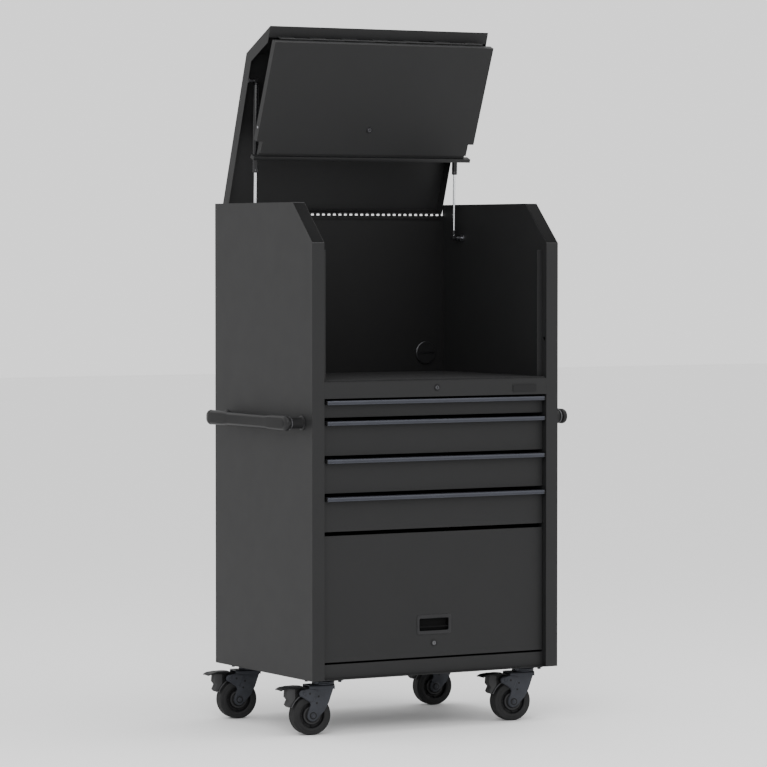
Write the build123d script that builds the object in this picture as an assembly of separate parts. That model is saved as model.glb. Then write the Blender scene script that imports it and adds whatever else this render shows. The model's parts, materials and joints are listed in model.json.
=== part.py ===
"""Rolling tool chest with four drawers, a flip-up bottom door and an open hutch under a gas-sprung lid.

The frame is +Z up, +X to the right and +Y to the back. The shapes are written with X measured from the
middle of the cabinet, Y from the front face of its corner posts and Z from the floor, and every node is
moved by SHIFT when it is written, so that the origin is at the middle of the whole object's footprint.
At rest the lid stands open with its flap folded in, the drawers and the door are shut and the four
casters point their brake pedals to the left.
"""
from build123d import *
import math
import os

# Driving dimensions, in millimetres and degrees.
WIDTH = 914.0
DEPTH = 656.0
FLOOR_GAP = 178.0
CHAMFER_FOOT = 1558.0
TOP = 1687.0
CHAMFER_RUN = 130.0
POST_WIDTH = 44.0
POST_DEPTH = 46.0
SHEET = 1.5
HEAVY_SHEET = 2.0
PANEL_GAP = 2.0
FACE_SETBACK = 20.0

WORKTOP_Z = 1120.0
MAT_THICKNESS = 5.6
TOP_RAIL_BOTTOM = 1067.5
BOTTOM_RAIL_TOP = 226.0
DIVIDER_Z = 641.5

DRAWER_SPANS = ((1007.0, 1061.0), (887.0, 996.0), (768.0, 876.0), (646.0, 756.0))
PULL_HEIGHT = 13.0
PULL_REACH = 25.0
PULL_END_GAP = 7.0
SLIDE_TRAVEL_ROOM = 13.5

LID_AXIS_Y = 652.0
LID_AXIS_Z = 1657.0
LID_OPEN_ANGLE = 71.2
LID_TOP = 1701.0
LID_DEPTH = 39.0
LID_TIP = (-9.0, 1572.0)
TIP_RETURN = 30.0
FLAP_AXIS_Y = 26.0
FLAP_AXIS_Z = 1546.0
FLAP_FOLD_ANGLE = 93.2
FLAP_BOTTOM = 1138.0
FLAP_FRONT = 2.0
FLAP_THICKNESS = 22.0
FLAP_LOCK_Z = 1248.0
FLAP_ROD_Y = 13.0
STOP_FRONT = 26.0
STOP_TOP = 1536.0
STOP_WIDTH = 19.0

STRUT_X = 379.0
STRUT_WALL_STUD = (526.0, 1575.0)
STRUT_LID_STUD = (202.0, 1666.0)
STRUT_TUBE_RADIUS = 9.0
STRUT_ROD_RADIUS = 4.5
STRUT_TUBE_LENGTH = 299.0

DOOR_BOTTOM = 232.5
DOOR_TOP = 633.0
DOOR_THICKNESS = 18.0
DOOR_AXIS_Y = 56.0
DOOR_AXIS_Z = 600.0
CUP_CENTRE_Z = 335.5
CUP_OUTER = (127.0, 63.0)
CUP_INNER = (108.0, 38.0)
DOOR_LOCK_Z = 276.0

GROMMET_X = 343.0
GROMMET_Z = 1187.0
DRAWER_LOCK_Z = 1096.5

HANDLE_Z = 991.0
HANDLE_FRONT = 42.0
HANDLE_BACK = 597.0
HANDLE_REACH = 70.0
GRIP_HEIGHT = 38.0
GRIP_WIDTH = 18.0

CASTER_X = 374.0
CASTER_FRONT_Y = 80.0
CASTER_BACK_Y = 576.0
CASTER_TURN = 172.0
CASTER_OFFSET = 46.0
CROWN_Z = 160.0
WHEEL_RADIUS = 63.5
WHEEL_WIDTH = 50.0
FORK_INNER = 27.5
LEG_SHEET = 3.5
PEDAL_REACH = 153.0
PEDAL_HALF_WIDTH = 24.0
PEDAL_BLOCK_HALF = 17.0
PEDAL_PIVOT = (76.0, 134.0)
BRAKE_RADIUS = 71.5
RUNNING_FIT = 0.05

HALF = WIDTH / 2
INNER_X = HALF - POST_WIDTH
PANEL_X = INNER_X - PANEL_GAP
BACK_INNER = DEPTH - 4.0
LID_REAR = 654.0
PEDAL_TURN = math.radians(180 - CASTER_TURN)
LEFT_REACH = CASTER_X + PEDAL_REACH * math.cos(PEDAL_TURN) + PEDAL_HALF_WIDTH * math.sin(PEDAL_TURN)
LID_BACK_EDGE = (
    LID_AXIS_Y
    + (LID_REAR - LID_AXIS_Y) * math.cos(math.radians(LID_OPEN_ANGLE))
    + (LID_TOP - LID_AXIS_Z) * math.sin(math.radians(LID_OPEN_ANGLE))
)
SHIFT = Vector((LEFT_REACH - HALF - HANDLE_REACH) / 2, -(LID_BACK_EDGE - (PULL_REACH - FACE_SETBACK)) / 2, 0)


def block(x0, x1, y0, y1, z0, z1):
    """A box between two corners."""
    return Pos((x0 + x1) / 2, (y0 + y1) / 2, (z0 + z1) / 2) * Box(x1 - x0, y1 - y0, z1 - z0)


def prism_x(points, x0, x1):
    """A prism along X with the given (Y, Z) outline."""
    return extrude(Plane.YZ.offset(x0) * make_face(Polyline(*points, close=True)), amount=x1 - x0)


def rod_x(x0, x1, y, z, radius):
    """A round bar along X."""
    return Pos((x0 + x1) / 2, y, z) * Rot(0, 90, 0) * Cylinder(radius, x1 - x0)


def rod_y(x, y0, y1, z, radius):
    """A round bar along Y."""
    return Pos(x, (y0 + y1) / 2, z) * Rot(90, 0, 0) * Cylinder(radius, y1 - y0)


def rod_z(x, y, z0, z1, radius):
    """A round bar along Z."""
    return Pos(x, y, (z0 + z1) / 2) * Cylinder(radius, z1 - z0)


def both_sides(shape):
    """The shape and its mirror image in the middle plane, as two separate solids."""
    return [shape, mirror(shape, about=Plane.YZ)]


def turned_x(shape, y, z, angle):
    """The shape turned about a line along X through (y, z)."""
    return Pos(0, y, z) * Rot(angle, 0, 0) * Pos(0, -y, -z) * shape


def lid_at_rest(shape):
    """A shape of the shut lid, moved to where it stands open."""
    return turned_x(shape, LID_AXIS_Y, LID_AXIS_Z, -LID_OPEN_ANGLE)


def flap_at_rest(shape):
    """A shape of the shut flap, folded against the lid and moved with the open lid."""
    return lid_at_rest(turned_x(shape, FLAP_AXIS_Y, FLAP_AXIS_Z, FLAP_FOLD_ANGLE))


def point_with_lid(y, z):
    """Where a point (y, z) of the shut lid lies when the lid is open."""
    angle = math.radians(-LID_OPEN_ANGLE)
    dy, dz = y - LID_AXIS_Y, z - LID_AXIS_Z
    turned_y = dy * math.cos(angle) - dz * math.sin(angle)
    turned_z = dy * math.sin(angle) + dz * math.cos(angle)
    return LID_AXIS_Y + turned_y, LID_AXIS_Z + turned_z


def chamfer_height(y, inset=0.0):
    """Height of the chamfer line at y, moved inwards by inset."""
    slope = (TOP - CHAMFER_FOOT) / CHAMFER_RUN
    return CHAMFER_FOOT + slope * y - inset * math.hypot(1, slope)


def chamfer_run(z, inset=0.0):
    """Place along Y of the chamfer line at height z, moved inwards by inset."""
    slope = (TOP - CHAMFER_FOOT) / CHAMFER_RUN
    return (z - CHAMFER_FOOT + inset * math.hypot(1, slope)) / slope


# Cabinet


def side_panel():
    """Left wall: outer skin, front and back posts, top strip and an inner skin above the bottom bay."""
    left, inner = -HALF, -INNER_X
    outline = [(0, FLOOR_GAP), (0, CHAMFER_FOOT), (CHAMFER_RUN, TOP), (DEPTH, TOP), (DEPTH, FLOOR_GAP)]
    wall = prism_x(outline, left, inner)
    upper = [
        (SHEET, DIVIDER_Z),
        (SHEET, chamfer_height(SHEET, SHEET)),
        (chamfer_run(TOP - SHEET, SHEET), TOP - SHEET),
        (DEPTH - SHEET, TOP - SHEET),
        (DEPTH - SHEET, DIVIDER_Z),
    ]
    wall -= prism_x(upper, left + SHEET, inner - SHEET)
    wall -= block(left + SHEET, inner + 1, POST_DEPTH, DEPTH - POST_DEPTH, FLOOR_GAP - 1, DIVIDER_Z + 1)
    wall -= block(left + SHEET, inner + 1, SHEET, DEPTH - SHEET, FLOOR_GAP - 1, FLOOR_GAP + HEAVY_SHEET)
    for near_y, far_y in ((SHEET, POST_DEPTH - SHEET), (DEPTH - POST_DEPTH + SHEET, DEPTH - SHEET)):
        wall -= block(left + SHEET, inner - SHEET, near_y, far_y, FLOOR_GAP, DIVIDER_Z + 1)
    return wall - rod_x(inner - 5, inner + 5, FLAP_ROD_Y, FLAP_LOCK_Z, 6.0)


def stop_flanges():
    """Upright strips inside the front posts that the shut flap closes against."""
    strip = block(-INNER_X, -INNER_X + STOP_WIDTH, STOP_FRONT, STOP_FRONT + 2, WORKTOP_Z, STOP_TOP)
    return both_sides(strip)


def back_panel():
    """Rear sheet with the hole for the cable grommet."""
    top = LID_AXIS_Z - 7
    sheet = block(-INNER_X, INNER_X, BACK_INNER, BACK_INNER + HEAVY_SHEET, FLOOR_GAP + HEAVY_SHEET, top)
    return sheet - rod_y(GROMMET_X, BACK_INNER - 1, BACK_INNER + 5, GROMMET_Z, 33.0)


def base_pan():
    """Bottom sheet with the folded rail under the door."""
    edge = HALF - SHEET
    floor = block(-edge, edge, SHEET, DEPTH - SHEET, FLOOR_GAP, FLOOR_GAP + HEAVY_SHEET)
    rail = block(-INNER_X, INNER_X, FACE_SETBACK, FACE_SETBACK + 20, FLOOR_GAP, BOTTOM_RAIL_TOP)
    hollow = block(
        -INNER_X - 1,
        INNER_X + 1,
        FACE_SETBACK + SHEET,
        FACE_SETBACK + 20 - SHEET,
        FLOOR_GAP + HEAVY_SHEET,
        BOTTOM_RAIL_TOP - SHEET,
    )
    return floor + (rail - hollow)


def top_rail():
    """Folded rail above the drawers, with the hole for the drawer lock."""
    z_high = WORKTOP_Z - HEAVY_SHEET
    front = block(-INNER_X, INNER_X, 0, SHEET, TOP_RAIL_BOTTOM, z_high)
    under = block(-INNER_X, INNER_X, 0, 34, TOP_RAIL_BOTTOM, TOP_RAIL_BOTTOM + SHEET)
    lip = block(-INNER_X, INNER_X, 34 - SHEET, 34, TOP_RAIL_BOTTOM, TOP_RAIL_BOTTOM + 16)
    return front + under + lip - rod_y(0, -1, 3, DRAWER_LOCK_Z, 9.0)


def worktop():
    """Sheet that closes the drawer bay and carries the mat."""
    return block(-INNER_X, INNER_X, 0, BACK_INNER, WORKTOP_Z - HEAVY_SHEET, WORKTOP_Z)


def worktop_mat():
    """Loose mat on the worktop, notched round the feet of the stop flanges."""
    mat = block(-INNER_X, INNER_X, 3, BACK_INNER - 3.2, WORKTOP_Z, WORKTOP_Z + MAT_THICKNESS)
    notch_end = -INNER_X + STOP_WIDTH + 1
    notch = block(-INNER_X - 1, notch_end, STOP_FRONT - 1, STOP_FRONT + 3, WORKTOP_Z - 1, WORKTOP_Z + 10)
    for one in both_sides(notch):
        mat -= one
    return mat


def divider_shelf():
    """Sheet between the lowest drawer and the bottom bay."""
    return block(-INNER_X, INNER_X, 84, BACK_INNER, DIVIDER_Z, DIVIDER_Z + HEAVY_SHEET)


def grommet_ring():
    """Cable grommet: flange, sleeve through the back panel and the fixed lower half of its cover."""
    ring = rod_y(GROMMET_X, BACK_INNER - 3, BACK_INNER, GROMMET_Z, 39.0)
    ring += rod_y(GROMMET_X, BACK_INNER - 3, DEPTH, GROMMET_Z, 32.5)
    ring -= rod_y(GROMMET_X, BACK_INNER - 4, DEPTH + 1, GROMMET_Z, 28.0)
    cover = rod_y(GROMMET_X, BACK_INNER - 7, BACK_INNER - 3, GROMMET_Z, 36.0)
    below = block(GROMMET_X - 40, GROMMET_X + 40, 600, 700, GROMMET_Z - 40, GROMMET_Z - 1.6)
    return ring + (cover & below)


def grommet_flap():
    """Upper half of the grommet's cover with the hinge barrel that it tips forward about."""
    disc = rod_y(GROMMET_X, BACK_INNER - 7, BACK_INNER - 3.3, GROMMET_Z, 36.0)
    half_disc = disc & block(GROMMET_X - 40, GROMMET_X + 40, 600, 700, GROMMET_Z, GROMMET_Z + 40)
    return half_disc + rod_x(GROMMET_X - 24, GROMMET_X + 24, BACK_INNER - 7, GROMMET_Z, 1.2)


# Locks


def lock_body(z, front_y, body_length, x=0.0):
    """Lock case: a round bezel and the barrel behind it, bored for the plug."""
    case = rod_y(x, front_y - 2, front_y, z, 11.0) + rod_y(x, front_y, front_y + body_length, z, 8.9)
    return case - rod_y(x, front_y - 3, front_y + body_length + 1, z, 7.0 + RUNNING_FIT)


def lock_plug(z, front_y, body_length, x=0.0):
    """Turning plug with its keyway and the cam behind the barrel."""
    plug = rod_y(x, front_y - 1.6, front_y + body_length + 0.5, z, 7.0)
    plug -= block(x - 1.1, x + 1.1, front_y - 3, front_y + 3, z - 4.2, z + 4.2)
    back = front_y + body_length
    return plug + block(x - 5, x + 5, back + 0.5, back + 3, z - 7, z + 7)


# Handles


def oval(width, height):
    """A rounded oblong, width along X and height along Z in the plane it is placed on."""
    return SlotOverall(height, width, rotation=90)


def handle_grip():
    """Left grip bar: a straight oval bar between the two brackets."""
    outline = Plane.XZ * Pos(-HALF - HANDLE_REACH + GRIP_WIDTH / 2, HANDLE_Z) * oval(GRIP_WIDTH, GRIP_HEIGHT)
    bar = extrude(outline, amount=-(HANDLE_BACK - HANDLE_FRONT - 94))
    return Pos(0, HANDLE_FRONT + 47, 0) * bar


def handle_bracket(y_low, y_high, post_y):
    """Left bracket: a round post from the wall and the oval head that holds one end of the grip."""
    outline = Plane.XZ * Pos(-HALF - HANDLE_REACH + 12, HANDLE_Z) * oval(24, 49)
    head = Pos(0, y_low, 0) * extrude(outline, amount=-(y_high - y_low))
    return head + rod_x(-HALF - HANDLE_REACH + 12, -HALF, post_y, HANDLE_Z, 18.0)


def handle_brackets():
    """The four brackets of both handles."""
    front = handle_bracket(HANDLE_FRONT, HANDLE_FRONT + 47, HANDLE_FRONT + 24)
    back = handle_bracket(HANDLE_BACK - 47, HANDLE_BACK, HANDLE_BACK - 24)
    return both_sides(front) + both_sides(back)


# Drawers and slides


def channel(wall_x, open_x, y0, y1, z_mid, half_height):
    """A C-shaped slide member: web at wall_x and two flanges that reach to open_x."""
    web = block(wall_x, wall_x + SHEET, y0, y1, z_mid - half_height, z_mid + half_height)
    low = block(wall_x, open_x, y0, y1, z_mid - half_height, z_mid - half_height + SHEET)
    high = block(wall_x, open_x, y0, y1, z_mid + half_height - SHEET, z_mid + half_height)
    return web + low + high


def slide_level(span):
    """Height of a drawer's slides."""
    return (span[0] + min(span[1] - PULL_HEIGHT, span[0] + 72)) / 2 + 1


def slide_outer_members():
    """Fixed slide members, one on each wall for each drawer."""
    members = []
    for span in DRAWER_SPANS:
        members += both_sides(channel(-INNER_X, -INNER_X + 10.5, 50, 600, slide_level(span), 17.5))
    return members


def slide_middle(span):
    """The two middle slide members of a drawer, which follow it at half its travel."""
    return both_sides(channel(-INNER_X + 2.1, -INNER_X + 11.5, 55, 595, slide_level(span), 15.2))


def drawer_box(span):
    """Drawer: double front, tray and the inner slide members on its sides."""
    z_low, z_high = span
    side_x = INNER_X - SLIDE_TRAVEL_ROOM
    front_back = FACE_SETBACK + 14
    rear = 592.0
    tray_low, tray_high = z_low + 4.5, z_high - PULL_HEIGHT - 3
    face_top = z_high - 3
    front = block(-PANEL_X, PANEL_X, FACE_SETBACK, front_back, z_low, face_top)
    front -= block(
        -PANEL_X + SHEET,
        PANEL_X - SHEET,
        FACE_SETBACK + SHEET,
        front_back - SHEET,
        z_low - 1,
        face_top - SHEET,
    )
    tray = block(-side_x, side_x, front_back - SHEET, rear, tray_low, tray_high)
    tray -= block(-side_x + SHEET, side_x - SHEET, front_back, rear - SHEET, tray_low + SHEET, tray_high + 1)
    box = front + tray
    for member in both_sides(channel(-INNER_X + 4.2, -side_x, 45, 590, slide_level(span), 12.8)):
        box += member
    return box


def drawer_pull(span):
    """Full-width extruded pull: a top plate over the drawer's front and a lip that hangs before it."""
    z_high = span[1]
    nose = FACE_SETBACK - PULL_REACH
    section = [
        (nose, z_high - PULL_HEIGHT),
        (nose, z_high - 2),
        (nose + 2, z_high),
        (FACE_SETBACK + 14, z_high),
        (FACE_SETBACK + 14, z_high - 3),
        (nose + 3, z_high - 3),
        (nose + 3, z_high - PULL_HEIGHT),
    ]
    half = INNER_X - PULL_END_GAP
    return prism_x(section, -half, half)


# Bottom door


def door_panel():
    """Door pan with hinge lugs at its upper corners and the cut-outs for the cup and the lock."""
    back = FACE_SETBACK + DOOR_THICKNESS
    pan = block(-PANEL_X, PANEL_X, FACE_SETBACK, back, DOOR_BOTTOM, DOOR_TOP)
    pan -= block(
        -PANEL_X + SHEET,
        PANEL_X - SHEET,
        FACE_SETBACK + SHEET,
        back + 1,
        DOOR_BOTTOM + SHEET,
        DOOR_TOP - SHEET,
    )
    pan -= block(
        -CUP_INNER[0] / 2 - 2,
        CUP_INNER[0] / 2 + 2,
        FACE_SETBACK - 1,
        FACE_SETBACK + 3,
        CUP_CENTRE_Z - CUP_INNER[1] / 2 - 2,
        CUP_CENTRE_Z + CUP_INNER[1] / 2 + 2,
    )
    pan -= rod_y(0, FACE_SETBACK - 1, FACE_SETBACK + 3, DOOR_LOCK_Z, 9.0)
    pan += rod_y(0, FACE_SETBACK - 2, FACE_SETBACK, DOOR_LOCK_Z, 11.0)
    pan += rod_y(0, FACE_SETBACK, back, DOOR_LOCK_Z, 9.0)
    pan -= rod_y(0, FACE_SETBACK - 3, back + 1, DOOR_LOCK_Z, 7.0 + RUNNING_FIT)
    lug_low, lug_high = DOOR_AXIS_Z - 12, DOOR_AXIS_Z + 12
    lug = block(-PANEL_X, -PANEL_X + 3, FACE_SETBACK + 4, DOOR_AXIS_Y + 7, lug_low, lug_high)
    lug -= rod_x(-PANEL_X - 1, -PANEL_X + 5, DOOR_AXIS_Y, DOOR_AXIS_Z, 4.0 + RUNNING_FIT)
    for one in both_sides(lug):
        pan += one
    return pan


def door_handle_cup():
    """Recessed pull: a flat bezel on the door's face and the cup behind it."""
    (outer_w, outer_h), (inner_w, inner_h) = CUP_OUTER, CUP_INNER
    front, depth = FACE_SETBACK, DOOR_THICKNESS - 1
    z = CUP_CENTRE_Z
    cup = block(-outer_w / 2, outer_w / 2, front - 2, front, z - outer_h / 2, z + outer_h / 2)
    cup += block(
        -inner_w / 2 - SHEET,
        inner_w / 2 + SHEET,
        front,
        front + depth,
        z - inner_h / 2 - SHEET,
        z + inner_h / 2 + SHEET,
    )
    return cup - block(
        -inner_w / 2, inner_w / 2, front - 3, front + depth - SHEET, z - inner_h / 2, z + inner_h / 2
    )


def door_carriage():
    """Sliding carriage: end plates with the door's hinge pins, rollers for the tracks and a tie bar."""
    plate_x = -INNER_X - 5
    tie = block(plate_x, -plate_x, 74, 86, DOOR_AXIS_Z - 10, DOOR_AXIS_Z + 4)
    carriage = tie
    parts = [
        block(plate_x, plate_x + 4, 50, 110, DOOR_AXIS_Z - 15, DOOR_AXIS_Z + 15),
        rod_x(plate_x, -PANEL_X + 6, DOOR_AXIS_Y, DOOR_AXIS_Z, 4.0),
    ]
    for roller_y in (66.0, 94.0):
        parts.append(rod_x(plate_x - 8, plate_x, roller_y, DOOR_AXIS_Z, 4.0))
        parts.append(rod_x(plate_x - 18, plate_x - 8, roller_y, DOOR_AXIS_Z, 12.0))
    for part in parts:
        for one in both_sides(part):
            carriage += one
    return carriage


def door_tracks():
    """C-shaped tracks between the front and back posts of the bottom bay."""
    wall_x = -INNER_X - 27
    return both_sides(channel(wall_x, wall_x + 17, POST_DEPTH, DEPTH - POST_DEPTH, DOOR_AXIS_Z, 14.5))


# Lid, flap and gas struts


def knuckle_spans(first, last, count):
    """Equal lengths of a hinge between first and last, as (start, end) pairs with a small gap between."""
    pitch = (last - first) / count
    return [(first + i * pitch + 0.2, first + (i + 1) * pitch - 0.2) for i in range(count)]


def lid_slant(z, inset=0.0):
    """Place along Y of the lid's slanted front at height z, moved inwards by inset."""
    return LID_TIP[0] + z - LID_TIP[1] + inset * math.sqrt(2)


def lid_shell():
    """Lid pan: top, slant, side flanges, rear skirt and return at the tip, with the flap hinge knuckles."""
    tip_z = LID_TIP[1]
    z_in = LID_TOP - LID_DEPTH
    solid = prism_x(
        [
            LID_TIP,
            (lid_slant(LID_TOP), LID_TOP),
            (LID_REAR, LID_TOP),
            (LID_REAR, z_in),
            (lid_slant(z_in, LID_DEPTH), z_in),
            (lid_slant(tip_z, LID_DEPTH), tip_z),
        ],
        -PANEL_X,
        PANEL_X,
    )
    over = LID_DEPTH + 2
    inside = [
        (lid_slant(tip_z + SHEET, SHEET), tip_z + SHEET),
        (lid_slant(LID_TOP - SHEET, SHEET), LID_TOP - SHEET),
        (LID_REAR - SHEET, LID_TOP - SHEET),
        (LID_REAR - SHEET, LID_TOP - over),
        (lid_slant(LID_TOP - over, over), LID_TOP - over),
        (lid_slant(tip_z + SHEET, over), tip_z + SHEET),
    ]
    pan = solid - prism_x(inside, -PANEL_X + SHEET, PANEL_X - SHEET)
    pan -= block(-PANEL_X + SHEET, PANEL_X - SHEET, TIP_RETURN, 60, tip_z - 1, tip_z + SHEET)
    for x0, x1 in knuckle_spans(-380, 380, 13)[0::2]:
        pan += block(x0, x1, FLAP_AXIS_Y, FLAP_AXIS_Y + 2, FLAP_AXIS_Z, tip_z)
        pan += rod_x(x0, x1, FLAP_AXIS_Y, FLAP_AXIS_Z, 3.0)
    pan += rod_x(-380, 380, FLAP_AXIS_Y, FLAP_AXIS_Z, 1.4)
    return lid_at_rest(pan)


def hinge_leaf(up, spans):
    """One leaf of the lid's long hinge: a strip with its knuckles, bored where it turns on the pin."""
    sign = 1 if up else -1
    near, far = LID_AXIS_Z + sign * 4.2, LID_AXIS_Z + sign * 22
    strip_back = LID_REAR - SHEET if up else BACK_INNER
    leaf = block(-404, 404, strip_back - SHEET, strip_back, min(near, far), max(near, far))
    for x0, x1 in spans:
        leaf += block(x0, x1, strip_back - SHEET, strip_back, min(LID_AXIS_Z, near), max(LID_AXIS_Z, near))
        leaf += rod_x(x0, x1, LID_AXIS_Y, LID_AXIS_Z, 3.5)
    return leaf


def hinge_leaf_lower():
    """Leaf on the back panel, with the hinge pin."""
    leaf = hinge_leaf(False, knuckle_spans(-404, 404, 19)[0::2])
    return leaf + rod_x(-404, 404, LID_AXIS_Y, LID_AXIS_Z, 1.5)


def hinge_leaf_upper():
    """Leaf inside the lid's rear skirt."""
    leaf = hinge_leaf(True, knuckle_spans(-404, 404, 19)[1::2])
    return lid_at_rest(leaf - rod_x(-410, 410, LID_AXIS_Y, LID_AXIS_Z, 1.5 + RUNNING_FIT))


def strut_lid_stud():
    """Left pin on the lid's side flange that carries the gas strut's upper eye."""
    y, z = STRUT_LID_STUD
    pin = rod_x(-PANEL_X + SHEET, -STRUT_X + 9, y, z, 4.0)
    return lid_at_rest(pin + rod_x(-PANEL_X + SHEET, -PANEL_X + SHEET + 4, y, z + 2, 9.0))


def strut_wall_stud():
    """Left stud on the cabinet wall that the strut's rod rests against."""
    y, z = STRUT_WALL_STUD
    return rod_x(-INNER_X, -STRUT_X - 8.4, y, z, 5.0) + rod_x(-INNER_X, -INNER_X + 4, y, z, 12.0)


def strut_frame():
    """Upper end, lower end and lean angle of the open strut, in (Y, Z)."""
    upper = point_with_lid(*STRUT_LID_STUD)
    lower = STRUT_WALL_STUD
    lean = math.degrees(math.atan2(lower[0] - upper[0], upper[1] - lower[1]))
    return upper, lower, lean


def strut_cylinder():
    """Left gas cylinder hanging from the lid's stud, bored for the rod."""
    (y, z), _, lean = strut_frame()
    tube = rod_z(-STRUT_X, y, z - STRUT_TUBE_LENGTH, z - 12, STRUT_TUBE_RADIUS)
    tube += rod_z(-STRUT_X, y, z - 14, z - 6, 5.0)
    eye = rod_x(-STRUT_X - 7, -STRUT_X + 7, y, z, 8.0)
    tube = tube + eye - rod_x(-STRUT_X - 9, -STRUT_X + 9, y, z, 4.0 + RUNNING_FIT)
    tube -= rod_z(-STRUT_X, y, z - STRUT_TUBE_LENGTH - 1, z - 40, STRUT_ROD_RADIUS + RUNNING_FIT)
    return turned_x(tube, y, z, lean)


def strut_rod():
    """Left gas strut rod with the socket at its lower end."""
    (upper_y, upper_z), (y, z), lean = strut_frame()
    length = math.hypot(upper_y - y, upper_z - z)
    exposed = length - STRUT_TUBE_LENGTH
    rod = rod_z(-STRUT_X, y, z + 4, z + exposed + 24, STRUT_ROD_RADIUS)
    rod += rod_x(-STRUT_X - 8, -STRUT_X + 6, y, z, 8.0)
    return turned_x(rod, y, z, lean)


def flap_panel():
    """Flap pan: main face, narrower lower face, groove and full-width lip, with its hinge knuckles."""
    front, back = FLAP_FRONT, FLAP_FRONT + FLAP_THICKNESS
    top = FLAP_AXIS_Z - 3.4
    step_z, groove_z, lip_z = FLAP_BOTTOM + 64, FLAP_BOTTOM + 24, FLAP_BOTTOM + 12
    narrow = PANEL_X - 21
    pan = block(-PANEL_X, PANEL_X, front, back, step_z, top)
    pan += block(-narrow, narrow, front, back, groove_z, step_z)
    pan += block(-narrow, narrow, front + 10, back, lip_z, groove_z)
    pan += block(-PANEL_X, PANEL_X, front, back, FLAP_BOTTOM, lip_z)
    pan -= block(-PANEL_X + SHEET, PANEL_X - SHEET, front + SHEET, back + 1, step_z + SHEET, top - SHEET)
    pan -= block(-narrow + SHEET, narrow - SHEET, front + SHEET, back + 1, groove_z + SHEET, step_z + SHEET)
    pan -= block(-narrow + SHEET, narrow - SHEET, front + 10 + SHEET, back + 1, lip_z, groove_z + SHEET)
    for x0, x1 in knuckle_spans(-380, 380, 13)[1::2]:
        pan += block(x0, x1, back - SHEET, FLAP_AXIS_Y, FLAP_AXIS_Z - 5, FLAP_AXIS_Z - 1)
        pan += rod_x(x0, x1, FLAP_AXIS_Y, FLAP_AXIS_Z, 3.0)
    pan -= rod_x(-385, 385, FLAP_AXIS_Y, FLAP_AXIS_Z, 1.4 + RUNNING_FIT)
    pan -= rod_y(0, front - 1, front + 3, FLAP_LOCK_Z, 9.0)
    pan -= rod_x(-PANEL_X - 1, PANEL_X + 1, FLAP_ROD_Y, FLAP_LOCK_Z, 4.5)
    return flap_at_rest(pan)


def lock_rod():
    """Left lock rod of the flap, which slides out of the flap's edge."""
    return rod_x(-PANEL_X - 1, -11, FLAP_ROD_Y, FLAP_LOCK_Z, 4.0)


# Casters


def caster_place(shape, x, y):
    """A shape of a caster in its own frame, turned and put under the cabinet at (x, y)."""
    return Pos(x, y, 0) * Rot(0, 0, CASTER_TURN) * shape


def caster_plate():
    """Mounting plate with its bolts, the upper race and the kingpin."""
    plate = block(-52.5, 52.5, -42.5, 42.5, FLOOR_GAP - 6, FLOOR_GAP)
    plate += rod_z(0, 0, CROWN_Z + 10, FLOOR_GAP - 6, 33.0)
    plate += rod_z(0, 0, CROWN_Z - 14, CROWN_Z + 11, 6.0)
    for x in (-42.5, 42.5):
        for y in (-32.5, 32.5):
            plate += rod_z(x, y, FLOOR_GAP - 12, FLOOR_GAP - 6, 7.0)
    return plate


def caster_leg():
    """One leg of the fork: a plate from the crown to the axle, with an arm that holds the brake."""
    px, pz = PEDAL_PIVOT
    outline = Polyline(
        (-28, CROWN_Z),
        (60, CROWN_Z),
        (px + 10, pz + 15),
        (px + 15, pz + 3),
        (px + 10, pz - 8),
        (52, 106),
        (63, 70),
        (59, 52),
        (CASTER_OFFSET, 45.5),
        (33, 51),
        (7, 76),
        (-8.5, 105),
        close=True,
    )
    return extrude(Plane.XZ.offset(FORK_INNER) * make_face(outline), amount=LEG_SHEET)


def caster_fork():
    """Fork: lower race, crown, two legs, the axle with its nuts and the pin of the brake."""
    outer = FORK_INNER + LEG_SHEET
    crown = block(-28, 58, -outer, outer, CROWN_Z - 4, CROWN_Z) + rod_z(0, 0, CROWN_Z, CROWN_Z + 9.7, 36.0)
    crown += rod_z(0, 0, CROWN_Z - 10, CROWN_Z - 3, 14.0)
    crown -= rod_z(0, 0, CROWN_Z - 20, CROWN_Z + 10, 6.0 + RUNNING_FIT)
    leg = caster_leg()
    px, pz = PEDAL_PIVOT
    axle = Pos(CASTER_OFFSET, 0, WHEEL_RADIUS) * Rot(90, 0, 0) * Cylinder(6.0, 2 * outer + 2)
    pin = Pos(px, 0, pz) * Rot(90, 0, 0) * Cylinder(3.0, 2 * outer + 2)
    nuts = [
        Pos(CASTER_OFFSET, side * (outer + 2.5), WHEEL_RADIUS)
        * Rot(90, 0, 0)
        * extrude(RegularPolygon(10, 6), 2.5, both=True)
        for side in (-1, 1)
    ]
    return crown + leg + mirror(leg, about=Plane.XZ) + axle + pin + nuts[0] + nuts[1]


def caster_wheel():
    """Wheel: a tyre with two grooves and rounded shoulders round a recessed hub."""
    half = WHEEL_WIDTH / 2
    section = [
        (6.0 + RUNNING_FIT, -half),
        (18, -half),
        (22, -half + 8),
        (44, -half + 8),
        (47, -half + 1),
        (59.5, -half + 1),
        (WHEEL_RADIUS, -half + 3.5),
        (WHEEL_RADIUS, -8),
        (WHEEL_RADIUS - 3, -7),
        (WHEEL_RADIUS - 3, -5),
        (WHEEL_RADIUS, -4),
    ]
    outline = section + [(r, -y) for r, y in reversed(section)]
    wheel = revolve(make_face(Polyline(*outline, close=True)), Axis.Y)
    return Pos(CASTER_OFFSET, 0, WHEEL_RADIUS) * wheel


def brake_arc_point(angle):
    """Point at an angle on the circle round the axle that the brake block keeps outside."""
    turn = math.radians(angle)
    return CASTER_OFFSET + BRAKE_RADIUS * math.cos(turn), WHEEL_RADIUS + BRAKE_RADIUS * math.sin(turn)


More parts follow.
